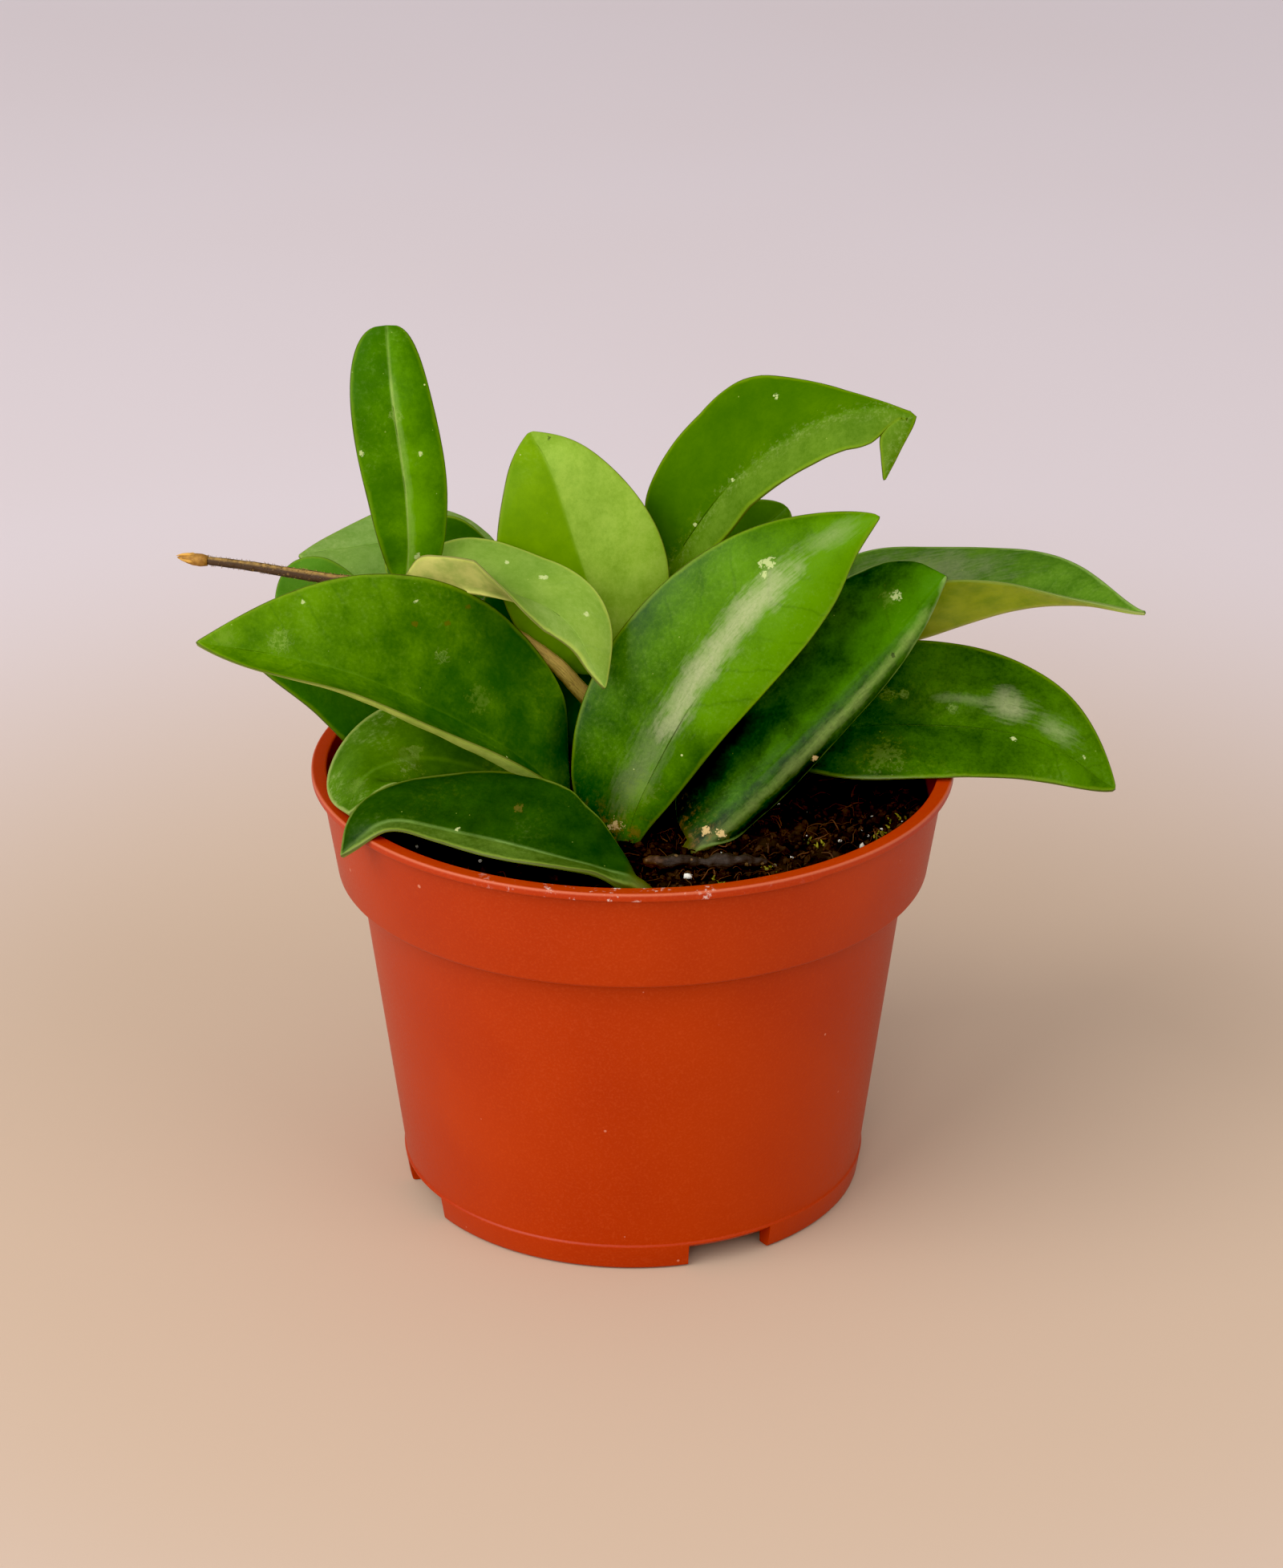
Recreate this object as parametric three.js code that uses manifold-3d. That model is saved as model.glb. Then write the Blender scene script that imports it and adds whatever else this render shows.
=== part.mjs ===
// A waxy-leaved hoya in a 12 cm plastic nursery pot.
// Millimetres, +Z up. The plant and the pot are laid out about the pot's axis, and the last group
// moves them so that the origin is under the middle of the whole outline, where the pot stands.

import * as THREE from "three";
import { mergeVertices } from "three/addons/utils/BufferGeometryUtils.js";
import Module from "manifold-3d";

const wasm = await Module();
wasm.setup();

// Driving dimensions
const POT_AXIS_X = -4.9; // where the pot's axis lies in the finished frame
const CLEARANCE = 0.3; // between pieces that touch

const POT = {
  height: 84.5,
  rimRadius: 60, // outside of the lip
  lipHeight: 1.5,
  lipOverhang: 1.6, // how far the lip stands out of the band
  bandBottomRadius: 55.5,
  bandBottomZ: 64,
  bandStep: 4, // from the band in to the body
  footRadius: 43.6,
  footLineZ: 4.9, // moulded line round the foot
  footLineStep: 0.3,
  footRingWidth: 2.4,
  floorZ: 4.2, // underside of the floor
  wall: 1.2,
  segments: 48,
};
const NOTCH = { count: 4, middleDeg: 24.5, widthDeg: 21.7, height: 4 };
const DRAIN = { count: 6, radius: 4, circle: 27, sides: 16 };

const SOIL = { topZ: 76, relief: 0.9, rings: 6, segments: 36 };

const LEAF = {
  rings: 11, // along the blade
  sides: 12, // round the blade
  thickness: 1.6, // of the blade near its base
  stalkRadius: 1.6,
  wave: 0.5, // rise and fall of the margin
  baseShape: 0.55, // how fast the blade widens at its base
  tipShape: 0.95, // how slowly it narrows to its tip
  foldIn: 0.15, // the share of the blade over which it folds and curls
};

const STEM_SIDES = 8;

// The way a leaf looks when it leans a number of degrees from straight up towards the front
const tilt = (deg, sideways = 0) => {
  const a = THREE.MathUtils.degToRad(deg);
  return [sideways, -Math.sin(a), Math.cos(a)];
};

// Stems: a path from inside the soil, the radius at its two ends, and the joints where leaves sit
const STEMS = {
  stem_vine: {
    path: [[4, 6, 66], [3, 6, 76], [0, 4, 84], [-10, -1, 98.8], [-16, -2.5, 105.8], [-28, -3, 113.9],
      [-43.2, -4, 119.8], [-56, -2, 121], [-71, 2, 122], [-79, 4, 122.3]],
    radius: [1.9, 1.0],
    joints: [{ at: [-43.2, -4, 119.8], radius: 2.7 }],
    rings: 26,
    colour: 0x7d6a3a,
  },
  stem_centre: {
    path: [[8, 15, 66], [7, 15, 76], [6, 14, 86], [4, 12, 95], [4, 14, 103], [5, 16, 110]],
    radius: [2.2, 1.7],
    joints: [{ at: [4, 12, 95], radius: 2.9 }, { at: [4, 14, 103], radius: 2.6 }, { at: [5, 16, 110], radius: 2.5 }],
    rings: 12,
    colour: 0x6f7a34,
  },
  stem_right: {
    path: [[23, 17, 66], [24, 18, 76], [25, 19, 82], [29, 23, 89]],
    radius: [2.1, 1.8],
    joints: [{ at: [25, 19, 82], radius: 2.7 }, { at: [29, 23, 89], radius: 2.5 }],
    rings: 9,
    colour: 0x6f7a34,
  },
  stem_left: {
    path: [[-22, 20, 66], [-24, 20, 76], [-28, 20, 86], [-36, 16, 99], [-42, 9, 108]],
    radius: [2.0, 1.6],
    joints: [{ at: [-42, 9, 108], radius: 2.5 }],
    rings: 13,
    colour: 0x6f7a34,
  },
  stem_back: {
    path: [[-12, 27, 66], [-14, 28, 76], [-17, 29, 88], [-20, 29, 100], [-22, 28, 111]],
    radius: [2.1, 1.6],
    joints: [{ at: [-20, 29, 100], radius: 2.8 }, { at: [-22, 28, 111], radius: 2.4 }],
    rings: 12,
    colour: 0x6f7a34,
  },
};

// The growing tip at the end of the bare vine
const BUD = { path: [[-79.6, 4.1, 122.3], [-81.5, 4.4, 122.4], [-84.2, 4.8, 122.6]], radii: [1.2, 1.5, 0.25] };

// A bit of bark that lies on the soil
const BARK = { path: [[9, -27, 76.6], [14, -27.5, 77.0], [20, -27, 76.9], [25, -25.5, 76.7]], radius: 0.9 };

// Leaves. path is the midrib from the foot of the stalk to the tip, and face is where the upper
// side looks along it. left and right, seen from above with the tip ahead, each give the half
// width, the rise of that half in degrees from the base to the tip, and its curl downwards. A half
// with an outline of its own adds its two shapes.
const LEAVES = {
  leaf_front_broad: {
    path: [[-2, -18, 69], [-1, -18, 75], [1, -17, 86], [9, -13, 105], [23, -9, 121], [45, -2, 133]],
    face: [[-0.1, -0.95, 0.3], [0, -0.85, 0.5]],
    left: [15.5, [10, 10], 20],
    right: [12, [8, 8], 40],
    stalk: 6,
    baseShape: 0.42,
    tipShape: 0.8,
  },
  leaf_front_rolled: {
    path: [[9, -20, 69], [11, -19, 76], [23, -14, 88], [43, -5, 106], [58, 4, 119]],
    face: [[-0.6, -0.6, 0.5], [-0.5, -0.6, 0.6]],
    left: [19, [10, 10], 10],
    right: [8, [10, 10], 120],
    stalk: 7,
    baseShape: 0.4,
    tipShape: 0.5,
  },
  leaf_right_low: {
    path: [[19, 8, 69], [22, 7, 79], [30, 5, 85], [51, 2, 88.3], [72, -1, 87.3], [90, -5, 80]],
    face: [tilt(33), tilt(33, 0.1)],
    left: [18.5, [28, 28], 20],
    right: [13, [24, 24], 20],
    stalk: 17,
    tipShape: 0.8,
  },
  leaf_right_folded: {
    path: [[29, 23, 89], [37, 24, 94], [54, 21, 101], [75, 13, 110], [94, -4, 115]],
    face: [tilt(-2), tilt(-4)],
    left: [20, [50, 50], 25],
    right: [12.5, [52, 52], 20],
    stalk: 7,
    baseShape: 0.45,
    tipShape: 0.95,
  },
  leaf_left_broad: {
    path: [[-9, -9, 69], [-12, -11, 80], [-26, -17, 95], [-50, -25, 111], [-77, -31, 120]],
    face: [tilt(33), tilt(36)],
    left: [16, [14, 14], -76],
    right: [23.4, [19, 19], -10, 0.85, 1.05],
    stalk: 13,
    baseShape: 0.58,
    tipShape: 0.85,
  },
  leaf_front_low: {
    path: [[5, -43, 69], [1, -42, 78], [-14, -41, 84], [-33, -34, 87], [-44, -34, 87.5], [-52, -39, 82]],
    face: [tilt(12), tilt(20, -0.2)],
    left: [11, [28, 0], -12],
    right: [13.8, [18, 6], 10],
    stalk: 11,
    baseShape: 0.6,
    tipShape: 0.9,
  },
  leaf_left_low: {
    path: [[-17, -8, 69], [-21, -9, 80], [-29, -11, 87], [-40, -14, 90], [-48.5, -20, 89], [-51, -30, 86.2]],
    face: [tilt(40, -0.2), tilt(45, -0.6)],
    left: [12, [0, 0], 10],
    right: [13, [10, 10], 20],
    stalk: 16,
  },
  leaf_left_under: {
    path: [[-17, 6, 69], [-21, 5, 79], [-27, 4, 83], [-42, 1, 93], [-56, -4, 102], [-69, -9, 107]],
    face: [tilt(45), tilt(45)],
    left: [13, [10, 10], 20],
    right: [12, [10, 10], 20],
    stalk: 15,
  },
  leaf_upright: {
    path: [[-43.9, -3.5, 119.8], [-43.4, -3.6, 124], [-42, -5, 138], [-41.6, -3, 155], [-43.2, 5, 167]],
    face: [[0.15, -1, 0.1], [0.1, -0.8, 0.6]],
    left: [9, [25, 10], 20],
    right: [7, [10, 10], 20],
    stalk: 5,
    baseShape: 0.62,
    tipShape: 0.35,
  },
  leaf_vine_young: {
    path: [[-42.4, -4.8, 119], [-38.4, -5.2, 121.2], [-27, -9.5, 122.3], [-13, -15, 119.6], [-5, -20, 107]],
    face: [tilt(0), tilt(10, 0.1), tilt(50, 0.5)],
    left: [13, [46, 5], 10],
    right: [9.8, [90, 15], 10],
    stalk: 4,
    foldIn: 0.05,
    baseShape: 0.42,
    tipShape: 0.8,
  },
  leaf_centre_tall: {
    path: [[4, 12, 95], [-1, 6.5, 99], [-5, 5.3, 107], [-10, 7, 122], [-15, 10, 137], [-19, 16, 143]],
    face: [[0.1, -1, 0.2], [0.1, -0.8, 0.6]],
    left: [16, [18, 18], 20],
    right: [15.5, [14, 14], 20],
    stalk: 11,
    tipShape: 0.8,
  },
  leaf_top_arched: {
    path: [[5, 16, 110], [7, 15, 116], [18, 12, 134], [32, 8, 147], [43, 5, 151], [50, 3, 150],
      [48, 1, 145], [46, 0, 139]],
    face: [[-0.5, -0.7, 0.3], [-0.2, -0.5, 0.85], [0, -0.5, 0.85], [0.9, -0.3, 0.2]],
    left: [15.8, [20, 20, 20, -40, -40], 0, 1.2, 2.5],
    right: [9, [15, -20], 10, 0.6, 0.75],
    stalk: 5,
  },
  leaf_back_left: {
    path: [[-22, 28, 111], [-29, 28, 115], [-39, 26, 118], [-51, 24, 117], [-63, 20, 117]],
    face: [tilt(20), tilt(20)],
    left: [9, [15, 15], 20],
    right: [9, [15, 15], 20],
    stalk: 5,
  },
  leaf_behind_twig: {
    path: [[-42, 9, 108], [-45, 7, 111], [-53, 5, 114], [-66, 2, 117]],
    face: [tilt(30), tilt(30)],
    left: [8, [15, 15], 20],
    right: [7.5, [15, 15], 20],
    stalk: 4,
  },
  leaf_behind_upright: {
    path: [[-41.6, 9.3, 108], [-39.6, 11.5, 112], [-34, 13, 118], [-27, 14, 120]],
    face: [tilt(30), tilt(30)],
    left: [7, [15, 15], 20],
    right: [7, [15, 15], 20],
    stalk: 4,
  },
  leaf_behind_arched: {
    path: [[4, 12, 95], [8, 19, 99], [13, 24, 107], [19, 28, 115], [27, 32, 123]],
    face: [tilt(60), tilt(50)],
    left: [9, [15, 15], 20],
    right: [9, [15, 15], 20],
    stalk: 12,
    tipShape: 0.6,
  },
  leaf_inner: {
    path: [[-4, 12, 69], [-5, 12, 78], [-8, 11, 87], [-14, 10, 101], [-22, 9, 115]],
    face: [tilt(60), tilt(60)],
    left: [13, [15, 15], 20],
    right: [11, [15, 15], 20],
    stalk: 12,
  },
  leaf_back_right: {
    path: [[25, 19, 82], [31, 26, 87], [37, 34, 89], [46, 43, 88], [55, 49, 82], [60, 52, 74]],
    face: [[0, 0.2, 1], [0.3, 0.3, 0.9]],
    left: [14, [15, 15], 20],
    right: [14, [15, 15], 20],
    stalk: 8,
  },
  leaf_back_centre: {
    path: [[4, 14, 103], [2, 21, 106], [-2, 33, 107], [-6, 45, 102], [-8, 54, 92]],
    face: [[0, 0.2, 1], [0, 0.4, 0.9]],
    left: [15, [15, 15], 20],
    right: [15, [15, 15], 20],
    stalk: 9,
  },
  leaf_back_low: {
    path: [[-20, 29, 100], [-26, 33, 102], [-36, 39, 100], [-46, 45, 93], [-52, 49, 84]],
    face: [[0, 0.2, 1], [-0.2, 0.3, 0.9]],
    left: [13, [15, 15], 20],
    right: [13, [15, 15], 20],
    stalk: 7,
  },
};

// Which stem, if any, each leaf's stalk meets. The others stand in the soil.
const SEATS = {
  leaf_upright: "stem_vine",
  leaf_vine_young: "stem_vine",
  leaf_centre_tall: "stem_centre",
  leaf_top_arched: "stem_centre",
  leaf_behind_arched: "stem_centre",
  leaf_back_centre: "stem_centre",
  leaf_right_folded: "stem_right",
  leaf_back_right: "stem_right",
  leaf_behind_twig: "stem_left",
  leaf_behind_upright: "stem_left",
  leaf_back_left: "stem_back",
  leaf_back_low: "stem_back",
};

const LEAF_COLOUR = 0x3f7a26;

// Solids: a closed mesh in, a mesh out
function toSolid(geometry) {
  const bare = geometry.clone();
  bare.deleteAttribute("normal");
  bare.deleteAttribute("uv");
  const merged = mergeVertices(bare, 1e-4);
  return new wasm.Manifold(new wasm.Mesh({
    numProp: 3,
    vertProperties: new Float32Array(merged.attributes.position.array),
    triVerts: new Uint32Array(merged.index.array),
  }));
}

function toGeometry(solid) {
  const mesh = solid.getMesh();
  const geometry = new THREE.BufferGeometry();
  geometry.setAttribute("position", new THREE.BufferAttribute(mesh.vertProperties, 3));
  geometry.setIndex(new THREE.BufferAttribute(mesh.triVerts, 1));
  geometry.computeVertexNormals();
  return geometry;
}

// The largest body of a solid, without the crumbs that a cut leaves
function largestBody(solid) {
  const bodies = solid.decompose().sort((a, b) => b.volume() - a.volume());
  return bodies[0];
}

// A closed skin over rings of points, with a middle point at each end. Where a quad is split, the
// two faces of a blade get the same diagonal.
function loft(rings, firstMiddle, lastMiddle) {
  const sides = rings[0].length;
  const points = rings.flat().concat([firstMiddle, lastMiddle]);
  const first = rings.length * sides;
  const last = first + 1;
  const faces = [];
  for (let i = 0; i < rings.length - 1; i++) {
    for (let k = 0; k < sides; k++) {
      const a = i * sides + k;
      const b = i * sides + ((k + 1) % sides);
      const c = a + sides;
      const d = b + sides;
      if (k < sides / 2) faces.push(a, d, b, a, c, d);
      else faces.push(a, c, b, b, c, d);
    }
  }
  const end = (rings.length - 1) * sides;
  for (let k = 0; k < sides; k++) {
    const next = (k + 1) % sides;
    faces.push(first, k, next);
    faces.push(last, end + next, end + k);
  }
  const geometry = new THREE.BufferGeometry();
  geometry.setAttribute("position", new THREE.Float32BufferAttribute(points.flatMap((p) => [p.x, p.y, p.z]), 3));
  geometry.setIndex(faces);
  geometry.computeVertexNormals();
  return geometry;
}

function smoothCurve(path) {
  const curve = new THREE.CatmullRomCurve3(path.map((p) => new THREE.Vector3(...p)), false, "catmullrom", 0.5);
  curve.arcLengthDivisions = 600;
  return curve;
}

const clamp01 = (x) => Math.min(Math.max(x, 0), 1);
const easeIn = (x) => THREE.MathUtils.smoothstep(x, 0, 1);

// A round stem along a path, its radius running from the first value to the last
function stemGeometry(path, radii, count, grow = 0) {
  const curve = smoothCurve(path);
  const rings = [];
  for (let i = 0; i < count; i++) {
    const t = i / (count - 1);
    const middle = curve.getPointAt(t);
    const ahead = curve.getTangentAt(t);
    const side = new THREE.Vector3(0.3, 1, 0.1).cross(ahead).normalize();
    const up = side.clone().cross(ahead);
    const radius = between(radii, t) + grow;
    const ring = [];
    for (let k = 0; k < STEM_SIDES; k++) {
      const angle = (2 * Math.PI * k) / STEM_SIDES;
      ring.push(middle.clone()
        .addScaledVector(side, radius * Math.cos(angle))
        .addScaledVector(up, radius * Math.sin(angle)));
    }
    rings.push(ring);
  }
  const first = curve.getPointAt(0).addScaledVector(curve.getTangentAt(0), -grow);
  const last = curve.getPointAt(1).addScaledVector(curve.getTangentAt(1), grow);
  return loft(rings, first, last);
}

function stemSolid(stem, grow = 0) {
  let solid = toSolid(stemGeometry(stem.path, stem.radius, stem.rings, grow));
  for (const joint of stem.joints) {
    const ball = new THREE.SphereGeometry(joint.radius + grow, 8, 6);
    ball.translate(...joint.at);
    solid = solid.add(toSolid(ball));
  }
  return solid;
}

// Where a share u of the way lies in an evenly spaced list: the entry before it and the rest
function placeIn(list, u) {
  const place = u * (list.length - 1);
  const j = Math.min(Math.floor(place), list.length - 2);
  return [j, place - j];
}

function between(values, u) {
  const [j, rest] = placeIn(values, u);
  return THREE.MathUtils.lerp(values[j], values[j + 1], rest);
}

// The direction that a leaf's upper side looks in, a share u of the way along its blade
function faceAt(face, u) {
  const [j, rest] = placeIn(face, u);
  const from = new THREE.Vector3(...face[j]).normalize();
  const to = new THREE.Vector3(...face[j + 1]).normalize();
  return from.lerp(to, rest);
}

// How wide a blade is at a share u of its length, against its widest
function outlineAt(u, a, b) {
  const widest = a / (a + b);
  return u > 0 ? (u / widest) ** a * ((1 - u) / (1 - widest)) ** b : 0;
}

// Where the section's point at an angle round the blade lies: across the blade and above it
function sectionPoint(half, fold, curl, thickness, rise, angle) {
  const across = Math.cos(angle);
  const over = Math.sin(angle);
  const lift = thickness * Math.sign(over) * Math.abs(over) ** 0.7;
  const share = Math.abs(across);
  if (share < 1e-9) return [0, lift];
  const bend = Math.abs(curl) < 1e-4 ? 1e-4 : curl;
  const slope = fold - bend * share;
  const x = (half * (Math.sin(fold) - Math.sin(slope))) / bend;
  const z = (half * (Math.cos(slope) - Math.cos(fold))) / bend + rise * share * share;
  return [Math.sign(across) * (x - lift * Math.sin(slope)), z + lift * Math.cos(slope)];
}

// A leaf with its stalk. The blade's half width follows u^a (1-u)^b, it is folded along the
// midrib and curled at its margins, and its margins rise and fall a little.
function leafGeometry(leaf, grow = 0) {
  const curve = smoothCurve(leaf.path);
  const total = curve.getLength();
  const blade = total - leaf.stalk;
  const baseShape = leaf.baseShape ?? LEAF.baseShape;
  const tipShape = leaf.tipShape ?? LEAF.tipShape;
  const stations = [0, 0.5 * leaf.stalk, 0.9 * leaf.stalk];
  for (let i = 1; i <= LEAF.rings; i++) {
    const t = i / LEAF.rings;
    stations.push(leaf.stalk + blade * 0.995 * (0.5 * t + 0.25 * (1 - Math.cos(Math.PI * t))));
  }
  const halves = [leaf.left, leaf.right];
  const rings = stations.map((station) => {
    const u = clamp01((station - leaf.stalk) / blade);
    const middle = curve.getPointAt(station / total);
    const ahead = curve.getTangentAt(station / total);
    const up = faceAt(leaf.face, u);
    up.addScaledVector(ahead, -up.dot(ahead)).normalize();
    const side = ahead.clone().cross(up);
    const bladeThickness = (LEAF.thickness / 2) * (1 - 0.45 * u);
    const thickness = THREE.MathUtils.lerp(LEAF.stalkRadius, bladeThickness, easeIn(u / 0.1)) + grow;
    const shaped = easeIn(u / (leaf.foldIn ?? LEAF.foldIn));
    const ring = [];
    for (let k = 0; k < LEAF.sides; k++) {
      const angle = (2 * Math.PI * k) / LEAF.sides;
      const isRight = Math.cos(angle) > 0;
      const [width, folds, curl, a = baseShape, b = tipShape] = halves[isRight ? 1 : 0];
      const outline = outlineAt(u, a, b);
      const half = Math.hypot(width * outline, LEAF.stalkRadius * (1 - u)) + 0.15 + grow;
      const fold = THREE.MathUtils.degToRad(between(folds, u)) * shaped;
      const bend = THREE.MathUtils.degToRad(curl) * shaped;
      const rise = LEAF.wave * outline * Math.sin(3.4 * Math.PI * u + (isRight ? 2.1 : 0));
      const [x, z] = sectionPoint(half, fold, bend, thickness, rise, angle);
      ring.push(middle.clone().addScaledVector(side, x).addScaledVector(up, z));
    }
    return ring;
  });
  return loft(rings, curve.getPointAt(0), curve.getPointAt(1));
}

// The pot: one turned wall with its lip, band and foot, cut by the foot's notches and the drains
function potOutline() {
  const p = POT;
  const lipBottomZ = p.height - p.lipHeight;
  const bandTopRadius = p.rimRadius - p.lipOverhang;
  const bodyTopRadius = p.bandBottomRadius - p.bandStep;
  const bodyTopZ = p.bandBottomZ - 0.5;
  const lineRadius = p.footRadius + ((bodyTopRadius - p.footRadius) * p.footLineZ) / bodyTopZ;
  return [
    [0, p.floorZ],
    [p.footRadius - p.footRingWidth, p.floorZ],
    [p.footRadius - p.footRingWidth, 0],
    [p.footRadius - 0.5, 0],
    [p.footRadius + 0.2, 0.6],
    [lineRadius + p.footLineStep, p.footLineZ],
    [lineRadius, p.footLineZ + 0.3],
    [bodyTopRadius, bodyTopZ],
    [p.bandBottomRadius, p.bandBottomZ],
    [bandTopRadius, lipBottomZ],
    [p.rimRadius, lipBottomZ],
    [p.rimRadius, p.height - 0.4],
    [p.rimRadius - 0.4, p.height],
    [bandTopRadius - p.wall + 0.4, p.height],
    [bandTopRadius - p.wall, p.height - 0.4],
    [p.bandBottomRadius - p.wall, p.bandBottomZ + p.wall],
    [bodyTopRadius - p.wall, bodyTopZ + p.wall - 0.3],
    [lineRadius - p.wall, p.floorZ + 3],
    [lineRadius - p.wall - 1.2, p.floorZ + 1.6],
    [0, p.floorZ + 1.6],
  ];
}

function turned(outline, segments) {
  return new THREE.LatheGeometry(outline.map(([r, z]) => new THREE.Vector2(r, z)), segments).rotateX(Math.PI / 2);
}

function notchSolid(middleDeg) {
  const length = 12;
  const width = 2 * POT.footRadius * Math.sin(THREE.MathUtils.degToRad(NOTCH.widthDeg / 2));
  const block = new THREE.BoxGeometry(width, length, NOTCH.height + 1);
  block.translate(0, -(POT.footRadius + 1), (NOTCH.height - 1) / 2);
  block.rotateZ(THREE.MathUtils.degToRad(middleDeg));
  return toSolid(block);
}

function potSolid() {
  let solid = toSolid(turned(potOutline(), POT.segments));
  for (let i = 0; i < NOTCH.count; i++) {
    solid = solid.subtract(notchSolid(NOTCH.middleDeg + (360 * i) / NOTCH.count));
  }
  for (let i = 0; i < DRAIN.count; i++) {
    const angle = (2 * Math.PI * i) / DRAIN.count;
    const hole = new THREE.CylinderGeometry(DRAIN.radius, DRAIN.radius, 10, DRAIN.sides).rotateX(Math.PI / 2);
    hole.translate(DRAIN.circle * Math.cos(angle), DRAIN.circle * Math.sin(angle), POT.floorZ);
    solid = solid.subtract(toSolid(hole));
  }
  return solid;
}

// How far the soil's crumbly surface stands above or below its mean level
function soilRelief(x, y) {
  const broad = Math.sin(0.11 * x + 0.7) * Math.cos(0.13 * y - 0.4);
  const clods = Math.sin(0.43 * x - 0.31 * y) + Math.sin(0.37 * y + 0.29 * x + 1.3);
  return SOIL.relief * (0.5 * broad + 0.25 * clods);
}

// The soil: a plug that fills the pot from its floor, with a crumbly top
function soilGeometry() {
  const inner = potOutline().slice(14).map(([r, z]) => [r - CLEARANCE, z]);
  const [bandTop, bandFoot, bodyTop, bodyFoot, floorEdge] = inner;
  const topRadius = THREE.MathUtils.mapLinear(SOIL.topZ, bandFoot[1], bandTop[1], bandFoot[0], bandTop[0]) - 0.3;
  const floor = POT.floorZ + 1.6 + CLEARANCE;
  const outline = [
    [floorEdge[0] - 0.2, floor],
    [bodyFoot[0], bodyFoot[1] + CLEARANCE],
    [bodyTop[0], bodyTop[1] + CLEARANCE],
    [bandFoot[0], bandFoot[1] + 1],
    [topRadius, SOIL.topZ - 0.6],
  ];
  for (let i = 1; i < SOIL.rings; i++) outline.push([topRadius * (1 - i / SOIL.rings) ** 0.9, SOIL.topZ]);
  const rings = outline.map(([radius, z]) => {
    const ring = [];
    for (let k = 0; k < SOIL.segments; k++) {
      const angle = (-2 * Math.PI * k) / SOIL.segments;
      const x = radius * Math.cos(angle);
      const y = radius * Math.sin(angle);
      const raised = z === SOIL.topZ ? soilRelief(x, y) : 0;
      ring.push(new THREE.Vector3(x, y, z + raised));
    }
    return ring;
  });
  return loft(rings, new THREE.Vector3(0, 0, floor), new THREE.Vector3(0, 0, SOIL.topZ + soilRelief(0, 0)));
}

// Everything that stands or lies in the soil has its own plain hole there
function soilSolid() {
  let solid = toSolid(soilGeometry());
  for (const stem of Object.values(STEMS)) solid = solid.subtract(stemSolid(stem, CLEARANCE));
  for (const [name, leaf] of Object.entries(LEAVES)) {
    if (!SEATS[name]) solid = solid.subtract(toSolid(leafGeometry(leaf, CLEARANCE)));
  }
  solid = solid.subtract(toSolid(stemGeometry(BARK.path, [BARK.radius, BARK.radius], 6, CLEARANCE)));
  return largestBody(solid);
}

// A leaf's solid ends a hair short of the stem that bears it
function leafSolid(name) {
  const solid = toSolid(leafGeometry(LEAVES[name]));
  const seat = SEATS[name];
  return seat ? largestBody(solid.subtract(stemSolid(STEMS[seat], CLEARANCE))) : solid;
}

// Materials
const paint = (color, roughness) => new THREE.MeshStandardMaterial({ color, roughness, metalness: 0 });
const PLASTIC = paint(0xc84a20, 0.45);
const EARTH = paint(0x33241b, 0.95);
const WOOD = paint(0x5a4330, 0.9);
const BUD_SKIN = paint(0xb07a35, 0.7);

// Assembly
const plant = new THREE.Group();
plant.position.set(POT_AXIS_X, 0, 0);

function place(name, solid, material) {
  const mesh = new THREE.Mesh(toGeometry(solid), material);
  mesh.name = name;
  plant.add(mesh);
}

place("pot", potSolid(), PLASTIC);
place("soil", soilSolid(), EARTH);
for (const [name, stem] of Object.entries(STEMS)) place(name, stemSolid(stem), paint(stem.colour, 0.7));
place("vine_bud", toSolid(stemGeometry(BUD.path, BUD.radii, 6)), BUD_SKIN);
place("bark_bit", toSolid(stemGeometry(BARK.path, [BARK.radius, BARK.radius], 6)), WOOD);
for (const name of Object.keys(LEAVES)) place(name, leafSolid(name), paint(LEAF_COLOUR, 0.35));

const root = new THREE.Group();
root.add(plant);

export default root;
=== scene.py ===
# A waxy-leaved hoya in a 12 cm plastic nursery pot: fine pieces, materials, light and camera.
# Lengths in the tables are millimetres about the pot's axis. The pieces are made in metres, in
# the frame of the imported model. The colours of materials are screen values from 0 to 255.

import math
from itertools import combinations
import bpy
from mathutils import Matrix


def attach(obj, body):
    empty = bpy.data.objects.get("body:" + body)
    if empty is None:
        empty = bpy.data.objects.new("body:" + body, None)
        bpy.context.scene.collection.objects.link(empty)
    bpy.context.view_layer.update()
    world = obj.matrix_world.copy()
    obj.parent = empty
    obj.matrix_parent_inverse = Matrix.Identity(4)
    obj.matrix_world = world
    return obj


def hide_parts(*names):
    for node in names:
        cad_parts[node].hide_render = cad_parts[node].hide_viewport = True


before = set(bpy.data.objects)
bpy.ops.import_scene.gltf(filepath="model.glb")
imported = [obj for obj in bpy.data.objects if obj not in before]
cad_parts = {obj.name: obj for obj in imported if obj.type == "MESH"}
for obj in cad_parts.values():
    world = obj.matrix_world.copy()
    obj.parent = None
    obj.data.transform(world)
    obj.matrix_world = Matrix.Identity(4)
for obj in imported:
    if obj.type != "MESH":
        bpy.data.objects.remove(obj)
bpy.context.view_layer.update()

from types import SimpleNamespace

import bpy
import numpy as np
from mathutils import Quaternion, Vector, noise

MM = 0.001
POT_AXIS_X = -4.9
CURVE_STEPS = 60


# Small helpers
def smooth(value, low=0.0, high=1.0):
    t = np.clip((np.asarray(value, float) - low) / (high - low), 0, 1)
    return t * t * (3 - 2 * t)


def unit(vectors):
    return vectors / np.linalg.norm(vectors, axis=-1, keepdims=True)


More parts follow.
